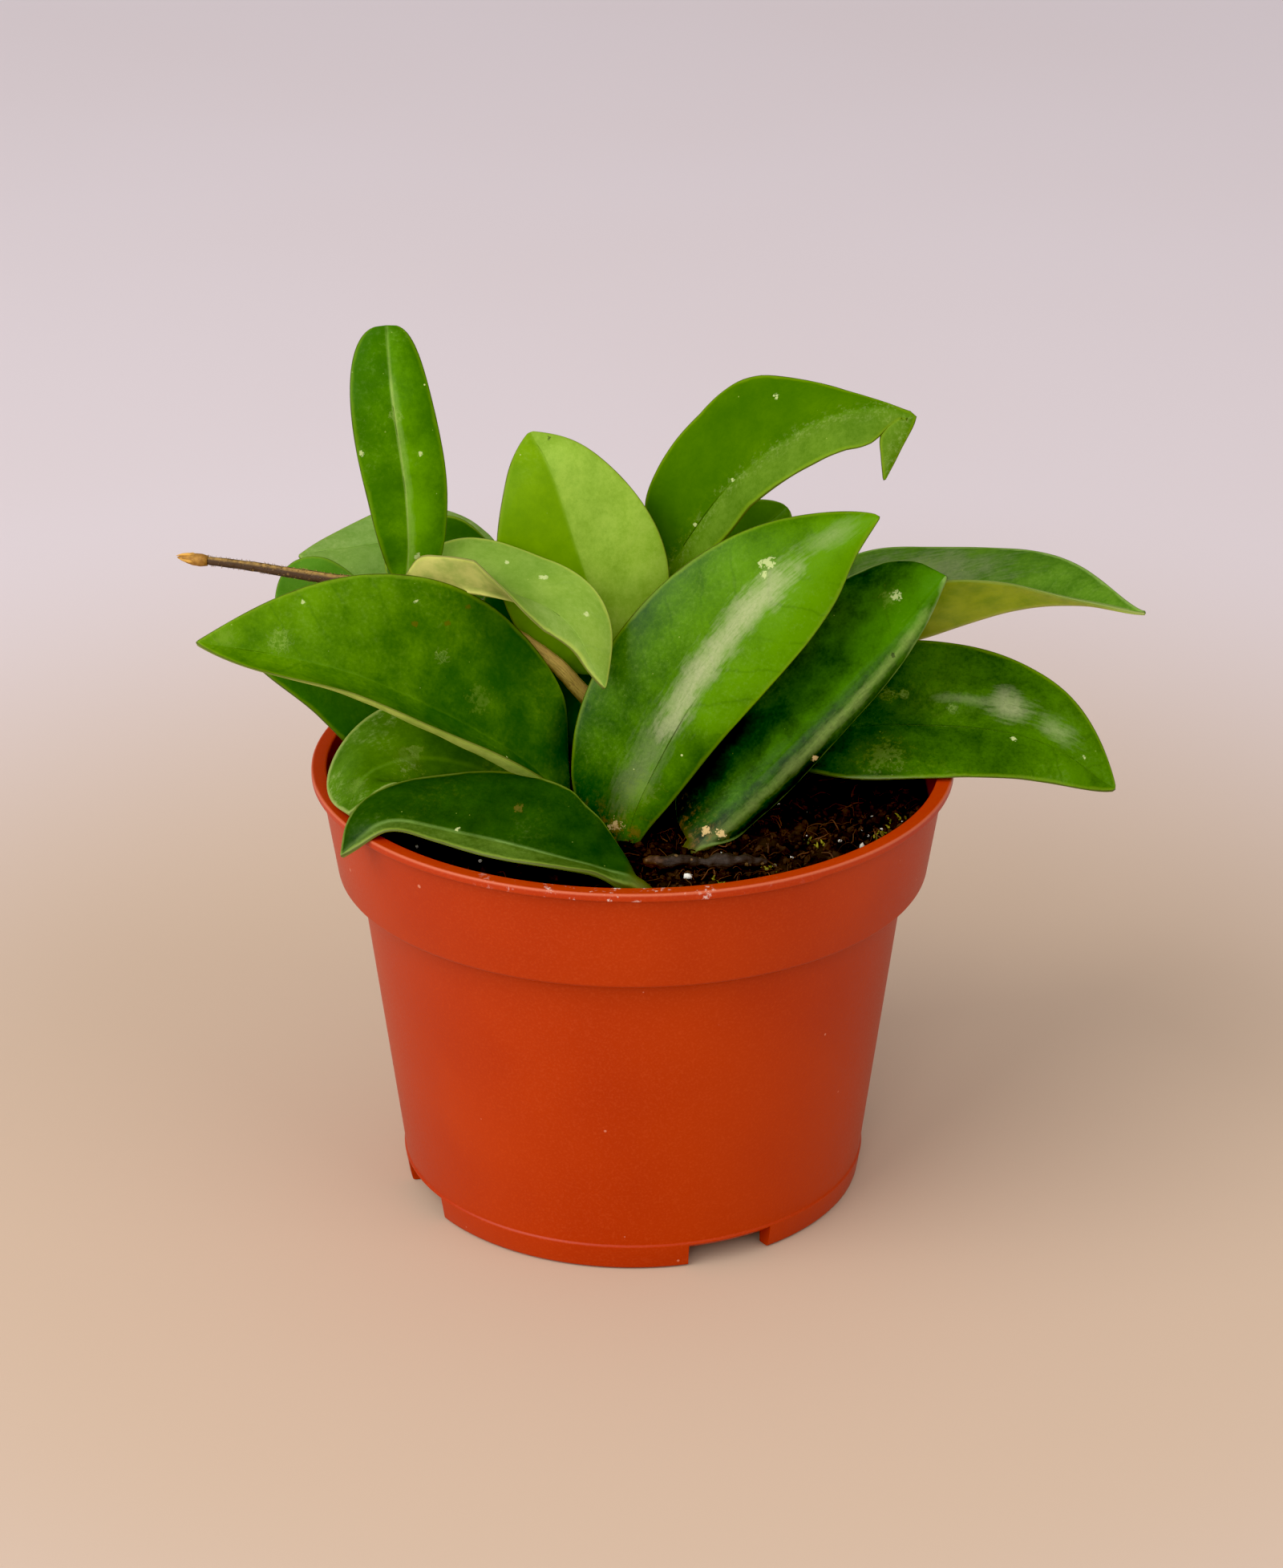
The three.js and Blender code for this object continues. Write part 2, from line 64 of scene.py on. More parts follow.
def srgb(red, green, blue):
    """A screen colour as the shaders want it."""
    parts = []
    for value in (red, green, blue):
        c = value / 255
        parts.append(c / 12.92 if c <= 0.04045 else ((c + 0.055) / 1.055) ** 2.4)
    return (*parts, 1.0)


def tilt(degrees, sideways=0.0):
    """The way a leaf looks when it leans a number of degrees from straight up to the front."""
    a = math.radians(degrees)
    return [sideways, -math.sin(a), math.cos(a)]


class Curve:
    """A smooth line through points, read by its length."""

    def __init__(self, path):
        p = np.array(path, float)
        p = np.vstack([2 * p[0] - p[1], p, 2 * p[-1] - p[-2]])
        parts = []
        for i in range(len(p) - 3):
            a, b, c, d = p[i : i + 4]
            t = np.linspace(0, 1, CURVE_STEPS, endpoint=i == len(p) - 4)[:, None]
            square = (2 * a - 5 * b + 4 * c - d) * t**2
            cube = (-a + 3 * b - 3 * c + d) * t**3
            parts.append(0.5 * (2 * b + (c - a) * t + square + cube))
        self.points = np.vstack(parts)
        steps = np.linalg.norm(np.diff(self.points, axis=0), axis=1)
        self.lengths = np.concatenate([[0], np.cumsum(steps)])
        self.total = self.lengths[-1]

    def at(self, length):
        return np.stack([np.interp(length, self.lengths, self.points[:, k]) for k in range(3)], -1)

    def ahead(self, length, reach=0.35):
        to = self.at(np.minimum(length + reach, self.total))
        back = self.at(np.maximum(length - reach, 0))
        return unit(to - back)


def between(values, u):
    """Evenly spaced values, read at a share u of the way through them."""
    values = np.asarray(values, float)
    place = np.clip(u, 0, 1) * (len(values) - 1)
    j = np.minimum(place.astype(int), len(values) - 2)
    rest = place - j
    if values.ndim > 1:
        rest = rest[:, None]
    return values[j] * (1 - rest) + values[j + 1] * rest


def lumps(points, scale, seed=0.0, octaves=3):
    """Smooth noise from about -1 to 1 at each point, with features about scale wide."""
    found = np.zeros(len(points))
    for n, p in enumerate(np.asarray(points, float) / scale):
        place = Vector((p[0] + seed * 13.7, p[1] - seed * 7.1, p[2] + seed * 3.3))
        found[n] = noise.fractal(place, 1.0, 2.0, octaves)
    return found


def turns(sides):
    """Angles of evenly spaced points round a ring."""
    return 2 * np.pi * np.arange(sides) / sides


def level_ring(radius, z, sides, x=0.0, y=0.0):
    """Points of a level ring, clockwise from above."""
    angle = -turns(sides)
    return np.stack([x + radius * np.cos(angle), y + radius * np.sin(angle), np.full(sides, z)], -1)


def rings_round(side, up, sides):
    """For each pair of side and up directions, a ring of directions round them."""
    angle = turns(sides)
    return np.cos(angle)[None, :, None] * side[:, None] + np.sin(angle)[None, :, None] * up[:, None]


def loft_faces(rings, sides, start=0):
    """Quads over rings of points and a fan at each end, whose middle points come last."""
    faces = []
    for i in range(rings - 1):
        for k in range(sides):
            a = start + i * sides + k
            b = start + i * sides + (k + 1) % sides
            faces.append((a, a + sides, b + sides, b))
    middle = start + rings * sides
    end = middle - sides
    for k in range(sides):
        following = (k + 1) % sides
        faces.append((middle, start + k, start + following))
        faces.append((middle + 1, end + following, end + k))
    return faces


def make_mesh(name, points, faces, material, tags=None, smoothed=True):
    """A mesh object from points in millimetres about the pot's axis."""
    mesh = bpy.data.meshes.new(name)
    placed = (np.asarray(points, float) + [POT_AXIS_X, 0, 0]) * MM
    mesh.from_pydata(placed.tolist(), [], [list(map(int, f)) for f in faces])
    for key, values in (tags or {}).items():
        values = np.asarray(values, np.float32)
        kind, field = ("FLOAT_VECTOR", "vector") if values.ndim == 2 else ("FLOAT", "value")
        mesh.attributes.new(key, kind, "POINT").data.foreach_set(field, values.ravel())
    mesh.polygons.foreach_set("use_smooth", [smoothed] * len(mesh.polygons))
    mesh.materials.append(material)
    mesh.update()
    obj = bpy.data.objects.new(name, mesh)
    bpy.context.scene.collection.objects.link(obj)
    return obj


def add_piece(obj, slot, *nodes):
    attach(obj, "root")
    if nodes:
        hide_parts(*nodes)


# Materials
class Value:
    """What a node of a material gives, with plain arithmetic: each step adds a node."""

    def __init__(self, shader, socket):
        self.shader = shader
        self.socket = socket

    def math(self, operation, *others):
        return self.shader.math(operation, self, *others)

    def __add__(self, other):
        return self.math("ADD", other)

    def __mul__(self, other):
        return self.math("MULTIPLY", other)

    def __sub__(self, other):
        return self.math("SUBTRACT", other)

    def __rsub__(self, other):
        return self.shader.math("SUBTRACT", other, self)

    def __pow__(self, power):
        return self.math("POWER", power)

    def __abs__(self):
        return self.math("ABSOLUTE")

    __radd__ = __add__
    __rmul__ = __mul__

    def root(self):
        return self.math("SQRT")

    def most(self, *others):
        found = self
        for other in others:
            found = found.math("MAXIMUM", other)
        return found

    def step(self, low, high, start=0.0, end=1.0):
        """A soft step from start to end as the value goes from low to high."""
        shader = self.shader
        node = shader.node("MapRange", self, low, high, start, end, interpolation_type="SMOOTHSTEP")
        return Value(shader, node.outputs[0])


class Shader:
    """A material under construction, with the colour that it has so far."""

    def __init__(self, name):
        self.material = bpy.data.materials.new(name)
        self.material.use_nodes = True
        self.tree = self.material.node_tree
        self.tree.nodes.clear()
        output = self.node("OutputMaterial")
        self.surface = self.node("BsdfPrincipled")
        self.tree.links.new(self.surface.outputs[0], output.inputs[0])
        self.colour = None

    def node(self, kind, *values, **settings):
        """A new node with its settings, and values for its first sockets."""
        node = self.tree.nodes.new("ShaderNode" + kind)
        for name, value in settings.items():
            setattr(node, name, value)
        for socket, value in zip(node.inputs, values):
            self.put(socket, value)
        return node

    def put(self, socket, value):
        if isinstance(value, Value):
            self.tree.links.new(value.socket, socket)
        elif isinstance(value, tuple):
            socket.default_value = srgb(*value)
        else:
            socket.default_value = value

    def fill(self, node, **values):
        for name, value in values.items():
            self.put(node.inputs[name.replace("_", " ")], value)

    def math(self, operation, a, b=0.0):
        return Value(self, self.node("Math", a, b, operation=operation).outputs[0])

    def mix(self, share, a, b):
        node = self.node("Mix", share, data_type="RGBA")
        self.put(node.inputs[6], a)
        self.put(node.inputs[7], b)
        return Value(self, node.outputs[2])

    def paint(self, share, colour):
        """Cover a share of what has been painted so far."""
        self.colour = self.mix(share, self.colour, colour)

    def tag(self, name, output="Vector"):
        return Value(self, self.node("Attribute", attribute_name=name).outputs[output])

    def place(self):
        return Value(self, self.node("TexCoord").outputs["Object"])

    def split(self, vector):
        return [Value(self, part) for part in self.node("SeparateXYZ", vector).outputs]

    def join(self, x, y, z):
        return Value(self, self.node("CombineXYZ", x, y, z).outputs[0])

    def noise(self, vector, scale, detail=3.0, roughness=0.5):
        node = self.node("TexNoise")
        self.fill(node, Vector=vector, Scale=scale, Detail=detail, Roughness=roughness)
        return Value(self, node.outputs[0])

    def specks(self, vector, scale, share, size):
        """Round specks: in a share of the cells of a pattern, up to size cells across."""
        cells = self.node("TexVoronoi")
        self.fill(cells, Vector=vector, Scale=scale)
        which, how_big, _ = self.split(Value(self, cells.outputs["Color"]))
        radius = how_big**2.0 * size
        there = which.math("LESS_THAN", share)
        return there * (radius - Value(self, cells.outputs["Distance"])).step(0.0, 0.03)

    def bump(self, height, strength, distance):
        node = self.node("Bump")
        self.fill(node, Strength=strength, Distance=distance, Height=height)
        self.fill(self.surface, Normal=Value(self, node.outputs[0]))

    def finish(self, roughness, shine):
        self.fill(self.surface, Base_Color=self.colour, Roughness=roughness, Specular_IOR_Level=shine)
        return self.material


def plastic_material():
    """Satin moulded plastic with fine grain, dust specks and hard-water spots on the lip."""
    s = Shader("pot_plastic")
    place = s.place()
    x, y, z = s.split(place)
    grain = s.noise(place, 2400.0, 2.0)
    s.colour = s.mix(s.noise(place, 28.0, 2.0).step(0.3, 0.7), (164, 44, 0), (172, 50, 0))
    s.paint(grain.step(0.45, 0.75, 0.0, 0.14), (212, 92, 40))
    s.paint(s.specks(place, 300.0, 0.2, 0.13) * 0.45, (228, 160, 130))
    # Hard-water crust on the front of the lip
    crust = s.noise(place, 420.0, 4.0, 0.7).step(0.57, 0.68) * z.step(0.0822, 0.0834)
    crust = crust * y.step(-0.045, -0.052) * abs(x + 0.006).step(0.034, 0.004)
    s.paint(crust * 0.85, (226, 212, 200))
    # The lip's outer edge: a painted highlight along its rounded rim
    across = x - POT_AXIS_X * MM
    radius = (across * across + y * y).root()
    s.paint(radius.step(0.0595, 0.0599) * z.step(0.0839, 0.0843) * 0.28, (230, 150, 112))
    s.bump(grain * 0.6 + s.noise(place, 700.0, 3.0) * 0.8, 0.12, 0.00018)
    return s.finish(grain.step(0.3, 0.8, 0.40, 0.50), 0.3)


def soil_material(name, dark, light, fleck):
    s = Shader(name)
    place = s.place()
    coarse = s.noise(place, 160.0, 5.0, 0.65)
    fine = s.noise(place, 900.0, 4.0, 0.6)
    mixed = coarse * 0.6 + fine * 0.4 + s.tag("tone", "Fac") * 0.22
    s.colour = s.mix(mixed.step(0.42, 0.78), dark, light)
    s.paint(fine.step(0.66, 0.74, 0.0, 0.5), fleck)
    s.bump(coarse + fine * 0.8, 0.7, 0.0006)
    return s.finish(fine.step(0.3, 0.7, 0.8, 1.0), 0.15)


def bit_material(name, dark, light, roughness):
    """Small loose things, each with a tone of its own."""
    s = Shader(name)
    fine = s.noise(s.place(), 1500.0, 3.0, 0.6)
    share = s.tag("tone", "Fac") * 0.7 + fine * 0.5
    s.colour = s.mix(share.step(0.2, 0.9), dark, light)
    s.bump(fine, 0.5, 0.0003)
    return s.finish(roughness, 0.3)


def stem_material(name, young, old, change, spots, painted_top_light=None):
    """Bark that goes from young to old between two places along the stem, in millimetres."""
    s = Shader(name)
    along, around, _ = s.split(s.tag("stem"))
    place = s.place()
    fine = s.noise(place, 900.0, 4.0, 0.6)
    streaks = s.noise(s.join(along * 0.35, around * 2.4, 0.0), 1.4, 4.0, 0.6)
    s.colour = s.mix((along + (fine - 0.5) * 8.0).step(*change), young, old)
    s.paint(streaks.step(0.42, 0.68, 0.0, 0.55), spots)
    # Painted light: a pale highlight along the upper side, and painted shade on the underside
    if painted_top_light:
        upper = (around * 0.5).math("COSINE")
        s.paint(upper.step(0.5, 0.98) * fine.step(0.3, 0.6, 0.3, 1.0) * 0.6, painted_top_light)
        s.paint(upper.step(0.1, -0.7, 0.0, 0.55), (40, 28, 14))
    s.paint(s.specks(place, 1100.0, 0.45, 0.45) * 0.4, (158, 122, 70))
    s.bump(streaks * 0.8 + fine, 0.55, 0.0003)
    return s.finish(fine.step(0.3, 0.7, 0.5, 0.72), 0.4)


# How deep each kind of mark colours the leaf, and its colour
MARKS = {
    "pale": (0.7, (196, 208, 140)),
    "ring": (0.6, (150, 174, 84)),
    "faint": (0.22, (140, 168, 64)),
    "rust": (0.5, (108, 88, 16)),
    "dark": (0.6, (30, 34, 18)),
    "tan": (0.85, (214, 184, 124)),
}


def painted_highlight_share(leaf, start, end, at_start, at_middle, at_end, width, strength):
    """One soft streak of painted highlight, drawn like wax bloom."""
    t = (leaf.along - start) * (1 / (end - start))
    bow = t * (1.0 - t) * (4 * at_middle - 2 * at_start - 2 * at_end)
    off = abs(leaf.rib - (at_start + t * (at_end - at_start) + bow))
    beyond = abs(t * 2.0 - 1.0) ** max(1.0, (end - start) / (5 * width))
    beyond = off * off * (1 / width**2) + beyond * beyond
    cloudy = (leaf.middle - 0.5) * 1.2 + (leaf.strokes - 0.5) * 1.6
    streak = (beyond.root() + cloudy).step(1.15, 0.0) * strength
    streak = streak * leaf.strokes.step(0.3, 0.6, 0.65, 1.0)
    return streak * leaf.fine.step(0.25, 0.65, 0.75, 1.0) * leaf.on_top


def mark_share(leaf, at, across, radius, kind):
    """One scar or blotch: a ragged disc, or a ring round a paler middle."""
    dx = leaf.along - at
    dy = leaf.rib - across
    ragged = (leaf.clumps - 0.5) * 3.0 + (leaf.fine - 0.5) * 2.0
    away = (dx * dx + dy * dy).root() + ragged * radius
    body = away.step(radius, radius * (0.1 if kind == "faint" else 0.65))
    if kind == "ring":
        body = body * away.step(radius * 0.35, radius * 0.85, 0.3, 1.0)
        body = body * leaf.fine.step(0.35, 0.6, 0.3, 1.0)
    return body * leaf.on_top


def leaf_material(name, look, seed):
    """A waxy leaf, drawn in its own millimetres: along the blade, off the midrib, off the margin."""
    s = Shader(name)
    along, rib, edge = s.split(s.tag("blade"))
    u, over, share = s.split(s.tag("spot"))
    flat = s.join(along, rib, over.math("LESS_THAN", 0.0) * 37.0 + seed * 11.3)
    off_rib = abs(rib)
    broad = s.noise(flat, 0.06, 2.0)
    middle = s.noise(flat, 0.22, 4.0, 0.6)
    fine = s.noise(flat, 1.5, 4.0, 0.7)
    clumps = s.noise(flat, 0.75, 5.0, 0.72)
    strokes = s.noise(s.join(along * 0.3, rib * 1.7, seed), 1.0, 4.0, 0.6)
    on_top = over.math("GREATER_THAN", 0.0)
    leaf = SimpleNamespace(
        along=along, rib=rib, middle=middle, fine=fine, clumps=clumps, strokes=strokes, on_top=on_top
    )
    right = rib.step(-1.0, 1.0)

    # Mottled green, with painted shade: darker on one half and towards one end, where the leaf lies in
    # shade
    outer_left, inner_left, inner_right, outer_right = look.shade
    on_left = inner_left + share * (outer_left - inner_left)
    on_right = inner_right + share * (outer_right - inner_right)
    at_foot, at_tip = look.shade_ends
    shade = on_left + right * (on_right - on_left) + (at_foot + u * (at_tip - at_foot))
    mottle = broad * 0.45 + middle * 0.35 + fine * 0.2
    s.colour = s.mix((mottle - shade).step(0.28, 0.74), look.dark, look.light)
    # Side veins, a little darker and only here and there
    wavy = along * 0.13 - off_rib * 0.11 + middle * 0.5
    crest = abs(wavy.math("FRACT") - 0.5)
    s.paint(crest.step(0.42, 0.50) * broad.step(0.45, 0.60) * 0.22, look.dark)
    # A pale film on each half: painted sheen
    left_sheen, right_sheen = look.film
    film = left_sheen + right * (right_sheen - left_sheen)
    film = film * (middle * 0.55 + fine * 0.45).step(0.30, 0.70, 0.5, 1.25)
    s.paint(film, look.film_colour)
    # Midrib
    line = off_rib.step(look.rib_width, look.rib_width * 0.1) * middle.step(0.3, 0.6, 0.6, 1.0)
    line = line * u.step(0.0, 0.06) * u.step(1.0, 0.7, 0.3, 1.0)
    s.paint(line * look.rib_strength, look.rib)
    # Specks of dust and sap, smaller flecks, and rusty spots
    s.paint(s.specks(flat, 0.30, look.specks, 0.10) * 0.8, (206, 216, 140))
    s.paint(s.specks(flat, 0.9, look.specks * 0.5, 0.16) * 0.35, (170, 186, 90))
    s.paint(s.specks(flat, 0.16, look.spots, 0.10) * 0.45, (126, 98, 20))
    # Dust, where it gathers
    where = off_rib.step(3.2, 0.2) if look.dust_at == "rib" else broad.step(0.42, 0.62)
    powder = clumps.step(0.48, 0.72) * 0.6 + fine.step(0.5, 0.75) * 0.4
    dust = powder * where * look.dust
    s.paint(dust, (190, 196, 130))
    # Painted highlights, soft streaks drawn like wax bloom
    painted_highlight = 0.0
    for spec in look.blooms:
        painted_highlight = painted_highlight_share(leaf, *spec).most(painted_highlight)
    s.paint(painted_highlight, look.bloom_colour)
    # Underside, with a net of veins and a pale ridge
    deep = s.mix(0.45, look.under, (78, 130, 14))
    below = s.mix(middle.step(0.35, 0.7), look.under, deep)
    below = s.mix(crest.step(0.36, 0.5) * 0.25, below, deep)
    below = s.mix(off_rib.step(1.6, 0.3, 0.0, 0.4), below, (202, 200, 104))
    s.paint(over.step(0.10, -0.12), below)
    # Margin: a pale line with a dark one outside it, both worn away in places
    worn = (middle - 0.5) * 1.3
    s.paint((edge + worn).step(0.95, 0.3) * look.edge_strength, look.edge)
    s.paint((edge + worn * 0.25).step(0.26, 0.08) * look.margin_strength, look.margin)
    # Scars and blotches
    scarred = 0.0
    for at, across, radius, kind in look.marks:
        body = mark_share(leaf, at, across, radius, kind)
        depth, colour = MARKS[kind]
        s.paint(body * depth, colour)
        scarred = body.most(scarred)
    # Stalk, and the crust at the leaf's foot
    s.paint(along.step(2.5, -1.5) * 0.6, (100, 96, 26))
    s.paint(clumps.step(0.50, 0.64) * along.step(9.0, 0.0) * look.crust, (140, 96, 46))
    waxless = dust.most(scarred * 0.8, film * 0.5) * 0.3
    s.bump(fine * 0.6 + middle * 1.2 + scarred * -0.8, 0.18, 0.0003)
    return s.finish(look.gloss + waxless + (fine - 0.5) * 0.08, look.shine)


# Pot
POT = SimpleNamespace(
    height=84.5, rim=60.0, lip_height=1.5, lip_overhang=1.6, band_bottom=55.5, band_z=64.0,
    band_step=4.0, foot=43.6, line_z=4.9, line_step=0.3, ring=2.4, floor=4.2, floor_thick=1.6,
    wall=1.2, columns=200, longest_face=9.0, sharp=38,
)
NOTCH = SimpleNamespace(count=4, middle=24.5, width=21.7, height=4.0, clear=0.5, corner=1e-3)
DRAIN = SimpleNamespace(count=6, radius=4.0, circle=27.0, low=1.0, high=9.0, sides=40)
# A trace of moulding flash hangs under the lip, and grows over some degrees up to its end
FLASH = SimpleNamespace(end=33, grows=35, fades=0.8, depth=0.35, inside=59.0, top=83.4)


def rounded(corner, before, after, radius, steps=5):
    """Points that round off a corner between its neighbours."""
    corner, before, after = (np.array(p, float) for p in (corner, before, after))
    a = corner + unit(before - corner) * radius
    b = corner + unit(after - corner) * radius
    t = np.linspace(0, 1, steps)[:, None]
    return ((1 - t) ** 2 * a + 2 * t * (1 - t) * corner + t**2 * b).tolist()


def pot_outline():
    """The wall's section: from the floor's underside, up the outside and down the inside."""
    p = POT
    lip_z = p.height - p.lip_height
    band_top = p.rim - p.lip_overhang
    body_top = p.band_bottom - p.band_step
    body_z = p.band_z - 0.5
    line = p.foot + (body_top - p.foot) * p.line_z / body_z
    # Radius and height of each corner, and how much it is rounded
    corners = [
        (0.02, p.floor, 0),
        (14, p.floor, 0),
        (p.foot - p.ring, p.floor, 0.3),
        (p.foot - p.ring, 0, 0.3),
        (p.foot + 0.1, 0, 0.5),
        (line + p.line_step, p.line_z, 0.18),
        (line, p.line_z + 0.35, 0.12),
        (body_top, body_z - 0.2, 0.5),
        (p.band_bottom, p.band_z, 0.7),
        (band_top, lip_z, 0.25),
        (p.rim, lip_z - 0.05, 0.35),
        (p.rim, p.height, 0.45),
        (band_top - p.wall - 0.1, p.height, 0.45),
        (p.band_bottom - p.wall, p.band_z + p.wall, 0.8),
        (body_top - p.wall, body_z + p.wall - 0.3, 0.6),
        (line - p.wall, p.floor + 2.2, 1.2),
        (line - p.wall - 2.0, p.floor + p.floor_thick, 0),
        (0.02, p.floor + p.floor_thick, 0),
    ]
    outline = []
    for i, (r, z, radius) in enumerate(corners):
        if radius:
            outline += rounded((r, z), corners[i - 1][:2], corners[i + 1][:2], radius)
        else:
            outline.append([r, z])
    filled = [outline[0]]
    for point in outline[1:]:
        last = filled[-1]
        pieces = max(1, round(math.dist(last, point) / p.longest_face))
        for n in range(1, pieces + 1):
            t = n / pieces
            filled.append([last[0] + (point[0] - last[0]) * t, last[1] + (point[1] - last[1]) * t])
    return filled


def pot_columns():
    """Degrees round the pot from the front, each with whether it lies in a notch."""
    middles = [NOTCH.middle + 360 * i / NOTCH.count for i in range(NOTCH.count)]
    notches = [(middle - NOTCH.width / 2, middle + NOTCH.width / 2) for middle in middles]
    kept = []
    for i in range(POT.columns):
        angle = 360 * i / POT.columns
        near = [abs((angle - edge + 180) % 360 - 180) for notch in notches for edge in notch]
        if min(near) > NOTCH.clear:
            inside = any(low < angle < high or low < angle + 360 < high for low, high in notches)
            kept.append((angle, inside))
    for low, high in ((low % 360, high % 360) for low, high in notches):
        kept += [(low, False), (low + NOTCH.corner, True), (high - NOTCH.corner, True), (high, False)]
    return sorted(kept)


def flash_at(angle):
    past = (angle - FLASH.end) % 360
    before = 360 - past
    if before < FLASH.grows:
        return FLASH.depth * (1 - before / FLASH.grows)
    return FLASH.depth * max(0.0, 1 - past / FLASH.fades)


def make_drain_cutter(material):
    """Upright cylinders through the pot's floor."""
    points, faces = [], []
    for i in range(DRAIN.count):
        a = 2 * math.pi * i / DRAIN.count
        x, y = DRAIN.circle * math.cos(a), DRAIN.circle * math.sin(a)
        faces += loft_faces(2, DRAIN.sides, len(points))
        for z in (DRAIN.low, DRAIN.high):
            points += level_ring(DRAIN.radius, z, DRAIN.sides, x, y).tolist()
        points += [[x, y, DRAIN.low], [x, y, DRAIN.high]]
    return make_mesh("drain_cutter", points, faces, material)


def make_pot(material):
    outline = pot_outline()
    columns = pot_columns()
    count, total = len(outline), len(columns)
    points = []
    for angle, inside in columns:
        a = math.radians(angle)
        for r, z in outline:
            height = max(z, NOTCH.height) if inside else z
            if r > FLASH.inside and z < FLASH.top:
                height -= flash_at(angle)
            points.append((r * math.sin(a), -r * math.cos(a), height))
    faces = []
    for i in range(total):
        j = (i + 1) % total
        for k in range(count - 1):
            faces.append((i * count + k, j * count + k, j * count + k + 1, i * count + k + 1))
    faces.append([i * count for i in range(total)][::-1])
    faces.append([i * count + count - 1 for i in range(total)])
    pot = make_mesh("pot_fine", points, faces, material)
    cutter = make_drain_cutter(material)
    cut = pot.modifiers.new("drains", "BOOLEAN")
    cut.operation = "DIFFERENCE"
    cut.solver = "EXACT"
    cut.object = cutter
    graph = bpy.context.evaluated_depsgraph_get()
    finished = bpy.data.meshes.new_from_object(pot.evaluated_get(graph))
    pot.modifiers.clear()
    pot.data = finished
    bpy.data.objects.remove(cutter)
    finished.polygons.foreach_set("use_smooth", [True] * len(finished.polygons))
    finished.set_sharp_from_angle(angle=math.radians(POT.sharp))
    return pot


# Soil
SOIL_TOP = 76.0
SOIL_RADIUS = 55.3
SOIL_RINGS = 96
SOIL_SIDES = 220
SOIL_MIDDLE = 0.012
# Radius and height of the soil's body inside the pot, from the bottom up to its surface
SOIL_BODY = [(41.6, 6.2), (42.9, 7.6), (50.0, 64.8), (53.9, 66.4), (55.2, 73.5)]
CRUMBS = 5200
CRUMB_REACH = 53.8
CLODS = 90
CLOD_REACH = 51.0
FIBRES = 900
FIBRE_START = 52.5
FIBRE_POINTS = 8
FIBRE_REACH = 53.6
# How far a crumb's corners are dented in or out, as a share of its size
DENTS = 0.28
MOSS_AT = [(50, -9), (32, -22), (16, -37), (24, -31), (45, -18), (-22, 44), (40, 20), (-44, 12)]
MOSS_STRANDS = 8
MOSS_REACH = 53.5
# The white grains that stand out in the photo, with their sizes, and how many more are strewn
PERLITE_AT = [(10, -37, 0.7), (42, -23, 0.6), (38, -20, 0.45), (46, -13, 0.4), (29, -27, 0.35)]
PERLITE_STREWN = 46
PERLITE_REACH = 52.0


def soil_height(x, y):
    """The height of the crumbly surface at points x, y."""
    x = np.asarray(x, float)
    y = np.asarray(y, float)
    wide = np.sin(0.11 * x + 0.7) * np.cos(0.13 * y - 0.4)
    clods = np.sin(0.43 * x - 0.31 * y) + np.sin(0.37 * y + 0.29 * x + 1.3)
    height = SOIL_TOP + 0.9 * (0.5 * wide + 0.25 * clods)
    flat = np.stack([x.ravel(), y.ravel(), np.zeros(x.size)], -1)
    rough = 0.9 * lumps(flat, 6.5, 1.0, 3) + 0.55 * lumps(flat, 2.1, 2.0, 2)
    return height + rough.reshape(x.shape) + 0.8 * smooth(np.hypot(x, y), 48, 55)


def ground(x, y):
    return float(soil_height([x], [y])[0])


def make_soil(material):
    share = np.linspace(1, SOIL_MIDDLE, SOIL_RINGS)
    angle = -turns(SOIL_SIDES)
    x = SOIL_RADIUS * share[:, None] * np.cos(angle)
    y = SOIL_RADIUS * share[:, None] * np.sin(angle)
    top = np.stack([x, y, soil_height(x, y)], -1)
    body = [level_ring(radius, z, SOIL_SIDES) for radius, z in SOIL_BODY]
    middle = [[0, 0, SOIL_BODY[0][1]], [0, 0, ground(0, 0)]]
    points = np.vstack([*body, top.reshape(-1, 3), middle])
    tone = lumps(points, 9.0, 5.0, 2) * 0.5 + 0.5
    faces = loft_faces(SOIL_RINGS + len(body), SOIL_SIDES)
    return make_mesh("soil_fine", points, faces, material, {"tone": tone})


def icosahedron(near=0.53, far=0.85):
    """Points and faces of the body that each crumb is a dented copy of."""
    points = [(0, s * near, t * far) for t in (1, -1) for s in (-1, 1)]
    points += [(t * far, 0, s * near) for t in (1, -1) for s in (1, -1)]
    points += [(s * near, t * far, 0) for t in (1, -1) for s in (-1, 1)]
    points = np.array(points)
    faces = []
    # Each three corners that lie one edge apart make a face
    for face in combinations(range(len(points)), 3):
        a, b, c = points[list(face)]
        if max(math.dist(a, b), math.dist(b, c), math.dist(c, a)) < 2.2 * near:
            outward = np.dot(np.cross(b - a, c - a), a) > 0
            faces.append(face if outward else face[::-1])
    return points, np.array(faces)


ICO, ICO_FACES = icosahedron()


